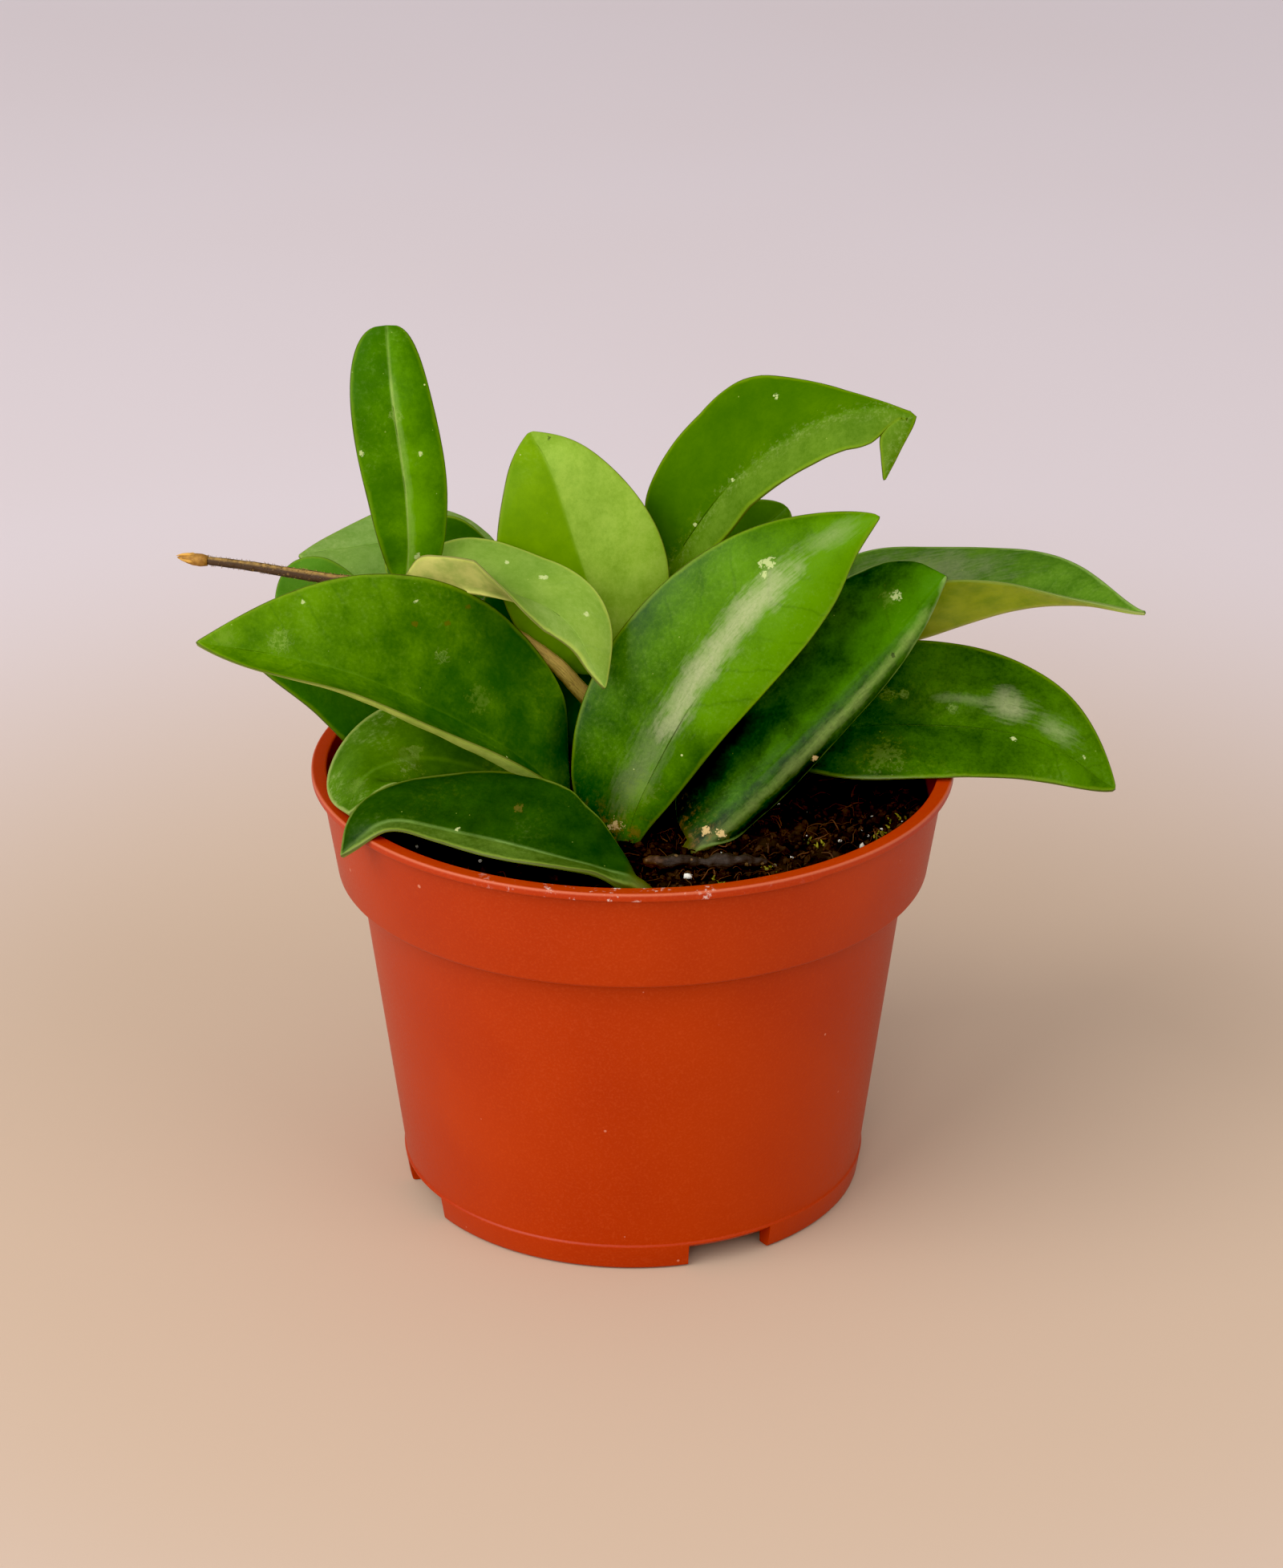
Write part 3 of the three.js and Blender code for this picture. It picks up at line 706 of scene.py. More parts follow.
class Bits:
    """Many small closed bodies gathered into one mesh."""

    def __init__(self, seed):
        self.random = np.random.RandomState(seed)
        self.points, self.faces, self.tones = [], [], []
        self.count = 0

    def take(self, points, faces, tone):
        tone = self.random.rand() if tone is None else tone
        self.points.append(np.asarray(points, float))
        self.faces.append(np.asarray(faces, int) + self.count)
        self.tones.append(np.full(len(points), tone))
        self.count += len(points)

    def crumb(self, at, size, stretch=0.35):
        r = self.random
        shape = ICO * (1 + r.uniform(-DENTS, DENTS, (len(ICO), 1)))
        shape = shape * (1 + r.uniform(-stretch, stretch, 3))
        turn = np.array(Quaternion(unit(r.normal(size=4))).to_matrix())
        self.take(shape @ turn.T * size + at, ICO_FACES, None)

    def strand(self, path, radii, sides=4, tone=None):
        path = np.asarray(path, float)
        ahead = unit(np.gradient(path, axis=0))
        side = unit(np.cross(ahead, [0.31, 0.42, 0.85]))
        radii = np.asarray(radii, float)[:, None, None]
        ring = rings_round(side, np.cross(side, ahead), sides)
        points = np.vstack([(path[:, None] + radii * ring).reshape(-1, 3), path[:1], path[-1:]])
        faces = []
        for face in loft_faces(len(path), sides):
            faces.append(face[:3])
            if len(face) == 4:
                faces.append((face[0], face[2], face[3]))
        self.take(points, faces, tone)

    def finish(self, name, material, smoothed=True):
        points, faces = np.vstack(self.points), np.vstack(self.faces)
        tags = {"tone": np.concatenate(self.tones)}
        return make_mesh(name, points, faces, material, tags, smoothed)


def on_soil(random, count, reach):
    """Random places on the soil within reach of the middle."""
    r = reach * np.sqrt(random.rand(count))
    a = random.uniform(0, 2 * np.pi, count)
    x, y = r * np.cos(a), r * np.sin(a)
    return np.stack([x, y, soil_height(x, y)], -1)


def make_crumbs(material):
    bits = Bits(11)
    for spot in on_soil(bits.random, CRUMBS, CRUMB_REACH):
        size = 0.24 + 0.62 * bits.random.rand() ** 3
        bits.crumb(spot + [0, 0, 0.15 * size], size)
    for spot in on_soil(bits.random, CLODS, CLOD_REACH):
        bits.crumb(spot + [0, 0, 0.1], bits.random.uniform(0.9, 1.7))
    return bits.finish("soil_crumbs", material, False)


def make_fibres(material):
    bits = Bits(23)
    r = bits.random
    for spot in on_soil(r, FIBRES, FIBRE_START):
        stride = r.uniform(1.6, 7.5) / FIBRE_POINTS
        heading = r.uniform(0, 2 * np.pi)
        turn = r.normal(0, 0.16)
        x, y = [spot[0]], [spot[1]]
        for _ in range(FIBRE_POINTS - 1):
            heading += turn + r.normal(0, 0.14)
            x.append(x[-1] + stride * math.cos(heading))
            y.append(y[-1] + stride * math.sin(heading))
        x, y = np.array(x), np.array(y)
        shrink = np.minimum(1, FIBRE_REACH / np.maximum(np.hypot(x, y), 1e-6))
        x, y = x * shrink, y * shrink
        lift = r.uniform(0.1, 1.5) * np.sin(np.linspace(0, np.pi * r.uniform(0.6, 1.0), FIBRE_POINTS))
        z = soil_height(x, y) + 0.1 + lift
        width = (0.05 + 0.17 * r.rand() ** 2) * np.linspace(1, 0.5, FIBRE_POINTS)
        bits.strand(np.stack([x, y, z], -1), width)
    return bits.finish("soil_fibres", material)


def make_moss(material):
    bits = Bits(31)
    r = bits.random
    t = np.linspace(0, 1, 5)
    for middle_x, middle_y in MOSS_AT:
        for _ in range(MOSS_STRANDS):
            x, y = middle_x + r.normal(0, 1.3), middle_y + r.normal(0, 1.3)
            if math.hypot(x, y) > MOSS_REACH:
                continue
            z = ground(x, y)
            lean = r.normal(0, 0.5, 2)
            tall = r.uniform(0.4, 1.3)
            sway = tall * t**1.5
            path = [x + lean[0] * sway, y + lean[1] * sway, z - 0.2 + tall * np.sin(t * 1.5)]
            bits.strand(np.stack(path, -1), [0.18, 0.22, 0.19, 0.13, 0.04])
            bits.crumb(np.array([x, y, z + 0.1]), r.uniform(0.2, 0.42))
    return bits.finish("soil_moss", material)


def make_perlite(material):
    bits = Bits(37)
    spots = list(PERLITE_AT)
    for x, y, _ in on_soil(bits.random, PERLITE_STREWN, PERLITE_REACH):
        spots.append((x, y, bits.random.uniform(0.16, 0.42)))
    for x, y, size in spots:
        bits.crumb(np.array([x, y, ground(x, y) + size * 0.6]), size, 0.2)
    return bits.finish("soil_perlite", material)


# Stems: the radius at the foot and at the end, and the places and radii of the joints
STEMS = {
    "stem_vine": {
        "path": [
            (4, 6, 66), (3, 6, 76), (0, 4, 84), (-10, -1, 98.8), (-16, -2.5, 105.8), (-28, -3, 113.9),
            (-43.2, -4, 119.8), (-56, -2, 121), (-71, 2, 122), (-79, 4, 122.3),
        ],
        "radius": (1.9, 0.8),
        "joints": [((-43.2, -4, 119.8), 2.7)],
    },
    "stem_centre": {
        "path": [(8, 15, 66), (7, 15, 76), (6, 14, 86), (4, 12, 95), (4, 14, 103), (5, 16, 110)],
        "radius": (2.2, 1.7),
        "joints": [((4, 12, 95), 2.9), ((4, 14, 103), 2.6), ((5, 16, 110), 2.5)],
    },
    "stem_right": {
        "path": [(23, 17, 66), (24, 18, 76), (25, 19, 82), (29, 23, 89)],
        "radius": (2.1, 1.8),
        "joints": [((25, 19, 82), 2.7), ((29, 23, 89), 2.5)],
    },
    "stem_left": {
        "path": [(-22, 20, 66), (-24, 20, 76), (-28, 20, 86), (-36, 16, 99), (-42, 9, 108)],
        "radius": (2.0, 1.6),
        "joints": [((-42, 9, 108), 2.5)],
    },
    "stem_back": {
        "path": [(-12, 27, 66), (-14, 28, 76), (-17, 29, 88), (-20, 29, 100), (-22, 28, 111)],
        "radius": (2.1, 1.6),
        "joints": [((-20, 29, 100), 2.8), ((-22, 28, 111), 2.4)],
    },
}
JOINT_REACH = 2.0
HAIRS = 420
HAIRY_END = 40
BUD_FROM = (-79.4, 4.0, 122.3)
BUD_TO = (-84.2, 4.8, 122.6)
BUD_SCALES = 7
BARK_PATH = [(2, -30.4, 76.9), (7, -31.6, 77.6), (13, -31.2, 77.3), (18, -32, 77.8), (24.5, -31.2, 77.3)]
BARK_RADIUS = 1.4


def tube(path, radius_at, sides, spacing, rough, seed):
    """Points, faces and tags of a rough round body along a path, with rounded ends."""
    curve = Curve(path)
    rows = max(8, int(curve.total / spacing))
    length = np.linspace(0, curve.total, rows)
    middle = curve.at(length)
    ahead = curve.ahead(length, 0.6)
    side = unit(np.cross([0.3, 1, 0.1], ahead))
    around = rings_round(side, np.cross(side, ahead), sides)
    radius = radius_at(length, curve, middle)
    points = middle[:, None] + radius[:, None, None] * around
    bumps = lumps(points.reshape(-1, 3), 2.2, seed, 3).reshape(rows, sides)
    points = middle[:, None] + (radius[:, None] * (1 + rough * bumps))[:, :, None] * around
    tags = np.zeros((rows, sides, 3))
    tags[:, :, 0] = length[:, None]
    tags[:, :, 1] = turns(sides)[None, :] * 2
    tags = np.vstack([tags.reshape(-1, 3), [[0, 0, 0], [curve.total, 0, 0]]])
    ends = np.array([middle[0] - ahead[0] * 0.1, middle[-1] + ahead[-1] * 0.1])
    return np.vstack([points.reshape(-1, 3), ends]), loft_faces(rows, sides), {"stem": tags}


def make_stem(name, stem, material):
    first, last = stem["radius"]

    def radius_at(length, curve, middle):
        radius = first + (last - first) * length / curve.total
        for at, size in stem["joints"]:
            away = np.linalg.norm(middle - np.array(at), axis=1)
            radius = radius + (size - radius) * 0.92 * np.exp(-((away / JOINT_REACH) ** 2))
        tip = smooth(curve.total - length, 0.0, 1.4)
        return radius * (0.55 + 0.45 * tip)

    points, faces, tags = tube(
        stem["path"], radius_at, sides=22, spacing=0.6, rough=0.07, seed=len(name)
    )
    return make_mesh(name + "_fine", points, faces, material, tags)


def make_hairs(material):
    """Short bristles on the bare end of the vine."""
    bits = Bits(41)
    r = bits.random
    curve = Curve(STEMS["stem_vine"]["path"])
    for _ in range(HAIRS):
        length = np.array([r.uniform(curve.total - HAIRY_END, curve.total - 0.5)])
        middle = curve.at(length)[0]
        ahead = curve.ahead(length)[0]
        out = unit(np.cross(ahead, unit(r.normal(size=3))))
        root = middle + out * (1.9 - 0.9 * length / curve.total) * 0.85
        tip = root + out * r.uniform(0.15, 0.32) + ahead * r.uniform(0.0, 0.25)
        bits.strand([root, (root + tip) / 2 + [0, 0, 0.03], tip], [0.06, 0.04, 0.012], 3)
    return bits.finish("vine_hairs", material)


def make_bud(material):
    """The growing tip: a core with overlapping pointed scales."""
    start = np.array(BUD_FROM)
    ahead = unit(np.array(BUD_TO) - start)
    bits = Bits(43)
    core = [start - ahead * 1.2 + ahead * t for t in (0, 1.2, 2.4, 3.7, 5.0, 5.8)]
    bits.strand(core, [0.95, 1.2, 1.15, 0.9, 0.5, 0.08], 12, 0.35)
    side = unit(np.cross(ahead, [0, 0, 1]))
    up = np.cross(side, ahead)
    for n in range(BUD_SCALES):
        out = math.cos(n * 2.4) * side + math.sin(n * 2.4) * up
        row = []
        for t, r in ((0, 0.7), (0.35, 0.95), (0.7, 0.75), (1, 0.35)):
            row.append(start + ahead * (0.225 * n + t * 3.2) + out * r)
        row[-1] = row[-1] + ahead * 0.2
        bits.strand(row, [0.25, 0.34, 0.25, 0.05], 6, 0.3 + 0.1 * n)
    return bits.finish("vine_bud_fine", material)


def make_bark(material):
    def radius_at(length, curve, middle):
        share = length / curve.total
        ends = 0.4 + 0.6 * np.sin(np.pi * share) ** 0.3
        return BARK_RADIUS * (0.85 + 0.15 * np.sin(share * 11)) * ends

    points, faces, tags = tube(BARK_PATH, radius_at, sides=24, spacing=0.25, rough=0.5, seed=3.0)
    return make_mesh("bark_bit_fine", points, faces, material, tags)


# Leaves, as in the imported model. First what each has where it says nothing else. path is the
# midrib from the foot of the stalk to the tip, and face is where the upper side looks along it.
# left and right give each half's width, the rise of that half in degrees, its curl downwards, and
# where it has its own, the two exponents of its outline or the outline drawn as evenly spaced
# shares of the width. stalk is how long the stalk is, and round how wide the fold over the midrib
# is rounded. shade is painted shade: it darkens the blade from the left margin over both sides of
# the midrib to the right margin, and shade_ends from foot to tip. The pale film on each half is
# painted sheen. A painted highlight, drawn like a streak of wax bloom, has its start and end
# along the blade, its place off the midrib at its start, middle and end, its width and its
# strength. A mark has its places along and across, its radius and its kind.
LEAF = dict(
    base=0.55, tip=0.95, fold_in=0.15, quilt=0.7, round=1.6, groove=0.7,
    dark=(34, 84, 0), light=(78, 132, 4), shade=(0.0, 0.0, 0.0, 0.0), shade_ends=(0.0, 0.0),
    under=(150, 188, 72), rib=(120, 164, 50), rib_strength=0.25, rib_width=0.8, margin=(58, 44, 24),
    margin_strength=0.6, edge=(128, 156, 30), edge_strength=0.35, film=(0.0, 0.0),
    film_colour=(150, 178, 84), dust=0.05, dust_at="all", specks=0.16, spots=0.06, crust=0.0, gloss=0.36,
    shine=0.28, marks=[], blooms=[], bloom_colour=(176, 184, 132),
)
LEAVES = {}


def leaf(name, **own):
    """Note a leaf with what it has of its own."""
    LEAVES[name] = SimpleNamespace(**{**LEAF, **own})


leaf(
    "leaf_front_broad",
    path=[
        (-2, -18, 69), (-1, -18, 75), (2.2, -17.4, 85.2), (12, -13.5, 102.6), (25.5, -9.5, 119),
        (45, -2, 133),
    ],
    face=[(-0.1, -0.95, 0.3), (0, -0.85, 0.5)],
    left=(18.4, (13, 2), 16, 0.48, 0.75),
    right=(9.8, (16, 6), 30, (0.1, 0.42, 0.62, 0.76, 0.88, 0.97, 1.0, 0.94, 0.72, 0.3, 0.0)),
    stalk=6, round=3.5, groove=0.0, quilt=0.2, dark=(24, 66, 0), light=(86, 134, 0),
    shade=(0.1, -0.1, -0.06, -0.08), shade_ends=(0.14, -0.18), crust=0.7, specks=0.22, rib_strength=0.0,
    shine=0.16,
    blooms=[
        (2, 34, -2.6, -2.2, -2.0, 4.4, 0.22), (17, 64, -1.6, -2.2, -2.4, 3.5, 0.74),
        (62, 76, -3.0, -2.6, -1.8, 2.4, 0.26),
    ],
    bloom_colour=(180, 184, 138),
    marks=[
        (56.9, -6.0, 1.1, "pale"), (55.2, -4.8, 0.8, "pale"), (11.0, -0.8, 4.0, "faint"),
        (3.4, -2.8, 1.2, "tan"),
    ],
)
leaf(
    "leaf_front_rolled",
    path=[(9, -20, 69), (12, -19.5, 76), (25, -15, 88), (44.3, -6.5, 105.8), (58, 3.5, 119.4)],
    face=[(-0.6, -0.6, 0.5), (-0.5, -0.6, 0.6)],
    left=(21, (5, 5), 6, 0.4, 0.32),
    right=(5.6, (2, 2), 112, (0.3, 0.85, 0.95, 1.0, 1.0, 0.98, 0.92, 0.8, 0.62, 0.38, 0.0)),
    # Its dark green and its darker foot are painted shade, where leaf_front_broad shades it
    stalk=7, round=4.0, groove=0.0, dark=(5, 34, 0), light=(66, 118, 0), shade=(0.16, -0.12, -0.04, 0.1),
    shade_ends=(0.16, -0.12), shine=0.16,
    blooms=[(0, 44, 2.2, 2.4, 2.4, 1.3, 0.34), (22, 62, 2.4, 2.2, 1.2, 1.0, 0.4)],
    bloom_colour=(160, 184, 96), edge=(136, 164, 84), edge_strength=0.6, crust=0.4, rib_strength=0.0,
    gloss=0.42,
    marks=[
        (59.3, -6.5, 2.4, "faint"), (60.0, -5.6, 1.0, "pale"), (26.7, 4.0, 0.6, "tan"),
        (50.0, 1.6, 0.5, "dark"), (5.0, 2.5, 0.8, "tan"), (3.5, 0.5, 0.9, "tan"),
    ],
)
leaf(
    "leaf_right_low",
    path=[(19, 8, 69), (22, 7, 79), (30, 5, 85), (51, 2, 88.3), (72, -1, 87.3), (90, -5, 80)],
    face=[tilt(33), tilt(33, 0.1)],
    left=(18.5, (28, 28), 20),
    right=(13, (24, 24), 20),
    stalk=17, tip=0.8, round=6.0, groove=0.0, quilt=0.8, dark=(12, 46, 0), light=(74, 118, 0),
    shade_ends=(0.14, -0.12),
    blooms=[
        (30, 46, -6.8, -6.6, -6.4, 1.4, 0.22), (39.2, 48.2, -6.6, -6.3, -6.0, 4.0, 0.55),
        (47.6, 56.8, -4.8, -4.4, -4.0, 3.0, 0.38),
    ],
    rib_strength=0.0, gloss=0.28,
    marks=[
        (22.6, -7.0, 1.6, "ring"), (25.4, -7.2, 0.9, "ring"), (45.6, 1.6, 0.5, "pale"),
        (58.6, -2.1, 0.5, "pale"), (34.0, -4.5, 0.9, "ring"), (22.0, 8.0, 5.0, "faint"),
    ],
)
leaf(
    "leaf_right_folded",
    path=[(29, 23, 89), (37, 24, 93.4), (54, 21, 99.6), (75, 13, 109.2), (94, -4, 115)],
    face=[tilt(-2), tilt(-4)],
    left=(23.2, (50, 50), 25, 0.3, 1.2),
    right=(19.5, (52, 52), 20, (0.2, 0.7, 0.9, 1.0, 0.98, 0.84, 0.58, 0.32, 0.13, 0.04, 0.0)),
    stalk=7, dark=(34, 82, 0), light=(88, 132, 14), under=(160, 178, 38), film=(0.06, 0.0),
    blooms=[(0, 42, -12.0, -13.0, -10.0, 9.0, 0.5)], bloom_colour=(168, 170, 128), edge=(150, 180, 88),
    edge_strength=0.5, margin_strength=0.45, gloss=0.4,
    marks=[(31.3, -8.3, 0.7, "pale"), (34.5, -8.0, 0.5, "pale"), (23.0, -15.0, 4.5, "faint")],
)
leaf(
    "leaf_left_broad",
    path=[(-9, -9, 69), (-12, -11, 80), (-26, -17, 95), (-50, -25, 111), (-77, -31, 120)],
    face=[tilt(33), tilt(36)],
    left=(14.5, (14, 14), (-76, -66, -54, -20)),
    right=(22.4, (19, 19), -10, 0.74, 1.0),
    stalk=13, base=0.58, tip=0.85, quilt=0.6, dark=(32, 80, 0), light=(94, 138, 0),
    shade_ends=(0.14, -0.06), under=(180, 198, 92), rib_strength=0.12, spots=0.2, specks=0.24, gloss=0.5,
    shine=0.16,
    marks=[
        (64.5, 2.9, 2.2, "ring"), (35.5, 9.6, 1.4, "ring"), (42.2, 13.1, 0.6, "rust"),
        (36.7, 15.6, 0.7, "rust"), (34.2, 20.1, 0.5, "rust"), (61.5, 10.7, 0.4, "pale"),
        (43.2, 17.0, 0.45, "pale"), (74.4, 1.8, 2.6, "faint"), (25.6, 5.9, 3.0, "faint"),
    ],
)
leaf(
    "leaf_front_low",
    path=[
        (5, -43, 69), (1, -42.5, 77.5), (-14, -42.2, 82.9), (-33, -36, 85.4), (-44, -35, 86.5),
        (-52, -39, 82),
    ],
    face=[tilt(12), tilt(20, -0.2)],
    left=(4.8, (24, 0), -10),
    right=(17, (18, 8), 12),
    stalk=11, base=0.6, tip=0.9, dark=(10, 44, 0), light=(42, 80, 0), film=(0.35, 0.0),
    film_colour=(116, 144, 52), rib=(130, 166, 80), rib_strength=0.5, edge=(160, 180, 70), gloss=0.38,
    marks=[
        (42.1, -5.0, 0.6, "pale"), (33.2, 0.8, 0.5, "pale"), (36.6, -4.9, 0.4, "pale"),
        (24.7, 8.5, 0.9, "rust"),
    ],
)
leaf(
    "leaf_left_low",
    path=[
        (-17, -8, 69), (-21, -9, 80), (-29, -11, 87), (-40, -14, 90), (-48.5, -20, 89), (-51, -30, 86.2),
    ],
    face=[tilt(40, -0.2), tilt(45, -0.6)],
    left=(15, (0, 0), 10),
    right=(13, (10, 10), 20),
    stalk=16, dark=(48, 86, 0), light=(92, 136, 8), dust=0.5, edge=(168, 182, 100), edge_strength=0.5,
    margin_strength=0.2, gloss=0.46,
    marks=[(19.7, 0.4, 3.0, "faint"), (32.2, 0.2, 2.6, "faint"), (18.5, 1.5, 1.2, "ring")],
)
leaf(
    "leaf_left_under",
    path=[(-17, 6, 69), (-21, 5, 79), (-27, 4, 83), (-42, 1, 93), (-56, -4, 102), (-69, -9, 107)],
    face=[tilt(45), tilt(45)],
    left=(13, (10, 10), 20),
    right=(12, (10, 10), 20),
    stalk=15, dark=(36, 84, 0), light=(66, 118, 0), spots=0.3,
)
leaf(
    "leaf_upright",
    path=[(-43.2, -3.5, 119.8), (-41.2, -3.8, 123), (-41, -5, 138), (-43, -3, 155), (-44.3, 5, 167)],
    face=[(0.15, -1, 0.1), (0.1, -0.8, 0.6)],
    left=(7.7, (25, 10), 20, 0.55, 0.35),
    right=(7.6, (10, 10), 20, 0.3, 0.35),
    stalk=1.5, dark=(50, 96, 0), light=(94, 146, 0), shade=(0.16, 0.04, -0.12, 0.06),
    shade_ends=(-0.1, 0.14), rib=(168, 192, 100), rib_strength=0.5, rib_width=0.6, edge=(110, 146, 20),
    edge_strength=0.4, blooms=[(0, 40, 0.9, 0.6, 0.4, 1.0, 0.24)], bloom_colour=(164, 188, 104),
    gloss=0.46, shine=0.12, specks=0.3,
    marks=[
        (32.5, 0.2, 1.3, "ring"), (25.3, 3.6, 0.5, "pale"), (27.3, -7.0, 0.5, "pale"),
        (6.1, 1.7, 0.6, "pale"),
    ],
)
leaf(
    "leaf_vine_young",
    path=[
        (-43.6, -4.4, 117.2), (-40.4, -5, 118.6), (-27, -9.5, 119.7), (-13, -15, 117.3), (-5, -20, 106.5),
    ],
    face=[tilt(0), tilt(10, 0.1), tilt(50, 0.5)],
    left=(13, (46, 5), 10),
    right=(9.8, (92, 76, 14, 0), 10, (0.2, 0.78, 0.93, 0.99, 0.97, 0.86, 0.66, 0.44, 0.22, 0.12, 0.0)),
    stalk=2.2, fold_in=0.05, base=0.42, tip=0.8, round=3.0, groove=0.3, dark=(88, 130, 10),
    light=(128, 160, 34), under=(192, 190, 104), rib_strength=0.1, film=(0.24, 0.42),
    film_colour=(150, 174, 96), edge=(190, 198, 84), gloss=0.48, specks=0.25,
    marks=[(17.4, -8.5, 0.5, "pale"), (24.3, -7.0, 0.6, "pale"), (32.9, -4.3, 0.5, "pale")],
)
leaf(
    "leaf_centre_tall",
    path=[(4, 12, 95), (-1, 6.5, 99), (-5, 5.3, 107), (-10, 7, 122), (-15, 10, 137), (-19, 16, 143)],
    face=[(0.1, -1, 0.2), (0.1, -0.8, 0.6)],
    left=(16, (18, 18), 20),
    right=(15.5, (14, 14), 20),
    stalk=11, tip=0.8, dark=(94, 136, 0), light=(120, 160, 0), film=(0.0, 0.42),
    film_colour=(166, 192, 84), margin=(88, 62, 48), rib_strength=0.0, gloss=0.5, shine=0.2,
    marks=[(44.9, 2.5, 0.5, "dark")],
)
leaf(
    "leaf_top_arched",
    path=[
        (5, 16, 110), (7, 15, 116), (18.4, 12, 133.6), (32.6, 8, 146.4), (43.2, 5, 150.8),
        (50, 3.4, 150.6), (50.4, 2.8, 149.4), (48.2, 1.2, 145.3), (45.6, 0, 139.2),
    ],
    face=[(-0.5, -0.7, 0.3), (-0.2, -0.5, 0.85), (0, -0.5, 0.85), (0.35, -0.9, 0.1)],
    left=(
        16.4, (20, 20, 20, -10, -10), 0,
        (
            0.15, 0.45, 0.62, 0.72, 0.79, 0.85, 0.91, 0.97, 1.0, 0.98, 0.88, 0.72, 0.54, 0.38, 0.24, 0.12,
            0.05, 0.04, 0.04, 0.03, 0.0,
        ),
    ),
    right=(
        8.4, (15, -10), 10,
        (
            0.15, 0.4, 0.56, 0.66, 0.75, 0.78, 0.8, 0.83, 0.86, 0.89, 0.92, 0.95, 0.95, 0.92, 0.84, 0.6,
            0.16, 0.3, 0.44, 0.24, 0.0,
        ),
    ),
    stalk=5, quilt=0.3, dark=(50, 90, 0), light=(72, 110, 0), film=(0.0, 0.22),
    film_colour=(140, 168, 70), dust=0.2, dust_at="rib", gloss=0.55, shine=0.04, rib_strength=0.1,
    marks=[(38.5, -9.1, 0.5, "pale"), (12.5, -0.8, 0.4, "pale"), (24.0, -0.6, 0.4, "pale")],
)
leaf(
    "leaf_back_left",
    path=[(-22, 28, 111), (-29, 28, 115), (-39, 26, 118), (-51, 24, 117), (-63, 20, 117)],
    face=[tilt(20), tilt(20)],
    left=(13, (15, 15), 20, 0.5, 0.7),
    right=(9.6, (15, 15), 20, 0.6, 0.98),
    stalk=5, dark=(78, 122, 18), light=(112, 150, 44), film=(0.2, 0.3), film_colour=(156, 176, 112),
    dust=0.3,
)
leaf(
    "leaf_behind_twig",
    path=[(-42, 9, 108), (-45, 7, 110.5), (-54, 5, 113), (-66, 2, 114.5)],
    face=[tilt(40), tilt(40)],
    left=(8, (15, 15), 20),
    right=(9.5, (15, 15), 20, 1.3, 0.6),
    stalk=4, dark=(70, 120, 20), light=(100, 148, 40), rib_strength=0.5,
)
leaf(
    "leaf_behind_upright",
    path=[(-41.6, 9.3, 108), (-40.6, 11, 113), (-35.5, 12.5, 120.5), (-25.5, 14, 120.5)],
    face=[tilt(40), tilt(40)],
    left=(8.4, (15, 15), 20),
    right=(7, (15, 15), 20),
    stalk=4, dark=(36, 80, 0), light=(66, 112, 4), edge_strength=0.7,
)
leaf(
    "leaf_behind_arched",
    path=[(4, 12, 95), (8, 19, 99), (13, 24, 107), (20, 28, 115), (29.5, 32, 122.5)],
    face=[tilt(60), tilt(50)],
    left=(9, (15, 15), 20),
    right=(9, (15, 15), 20),
    stalk=12, tip=0.6, dark=(50, 90, 0), light=(76, 116, 8),
)
leaf(
    "leaf_inner",
    path=[(-4, 12, 69), (-5, 12, 78), (-8, 11, 87), (-15, 10, 101), (-25, 9.5, 117)],
    face=[tilt(60), tilt(60)],
    left=(14, (15, 15), 20, 0.6, 0.6),
    right=(12, (15, 15), 20, 0.6, 0.6),
    stalk=12, dark=(34, 78, 0), light=(60, 108, 0),
)
leaf(
    "leaf_back_right",
    path=[(25, 19, 82), (31, 26, 87), (37, 34, 89), (46, 43, 88), (55, 49, 82), (60, 52, 74)],
    face=[(0, 0.2, 1), (0.3, 0.3, 0.9)],
    left=(14, (15, 15), 20),
    right=(14, (15, 15), 20),
    stalk=8,
)
leaf(
    "leaf_back_centre",
    path=[(4, 14, 103), (2, 21, 106), (-2, 33, 107), (-6, 45, 102), (-8, 54, 92)],
    face=[(0, 0.2, 1), (0, 0.4, 0.9)],
    left=(15, (15, 15), 20),
    right=(15, (15, 15), 20),
    stalk=9,
)
leaf(
    "leaf_back_low",
    path=[(-20, 29, 100), (-26, 33, 102), (-36, 39, 100), (-46, 45, 93), (-52, 49, 84)],
    face=[(0, 0.2, 1), (-0.2, 0.3, 0.9)],
    left=(13, (15, 15), 20),
    right=(13, (15, 15), 20),
    stalk=7,
)
LEAF_RINGS = 92
STALK_RINGS = 9
STALK_RADIUS = 1.6
# The blade's thickness at its foot, the share of it that is lost up to the tip, the exponent that
# blunts the margins, the least width of a half, and how far along the blade its last ring lies
THICKNESS = 1.6
THINNER = 0.45
BLUNT = 0.7
LEAST_HALF = 0.15
LAST_RING = 0.995
# The margins wave: how high, how many half waves, and how far the right one is shifted
WAVE = 0.5
HALF_WAVES = 3.4
RIGHT_SHIFT = 2.1
LEAST_BEND = 1e-4
# Heights and lengths of the blade's swellings and of the puckers between its veins, and depths
# and widths of the groove over the midrib and of the keel under it
RELIEF = SimpleNamespace(
    swell=0.34, swell_length=14.0, pucker=0.10, pucker_along=11.0, pucker_across=13.0,
    groove=0.34, groove_width=0.8, keel=0.5, keel_width=1.2,
)
# Places across a half, from the margin to the midrib
ACROSS = [
    1, 0.995, 0.98, 0.955, 0.92, 0.87, 0.8, 0.72, 0.63, 0.54, 0.45, 0.36, 0.28, 0.2, 0.13, 0.08,
    0.045, 0.018,
]


def section_angles():
    """Angles round the blade's section, close together at the margins and at the midrib."""
    quarter = np.arccos(np.array(ACROSS))
    half = np.concatenate([quarter, [np.pi / 2], np.pi - quarter[::-1]])
    return np.concatenate([half, 2 * np.pi - half[-2:0:-1]])


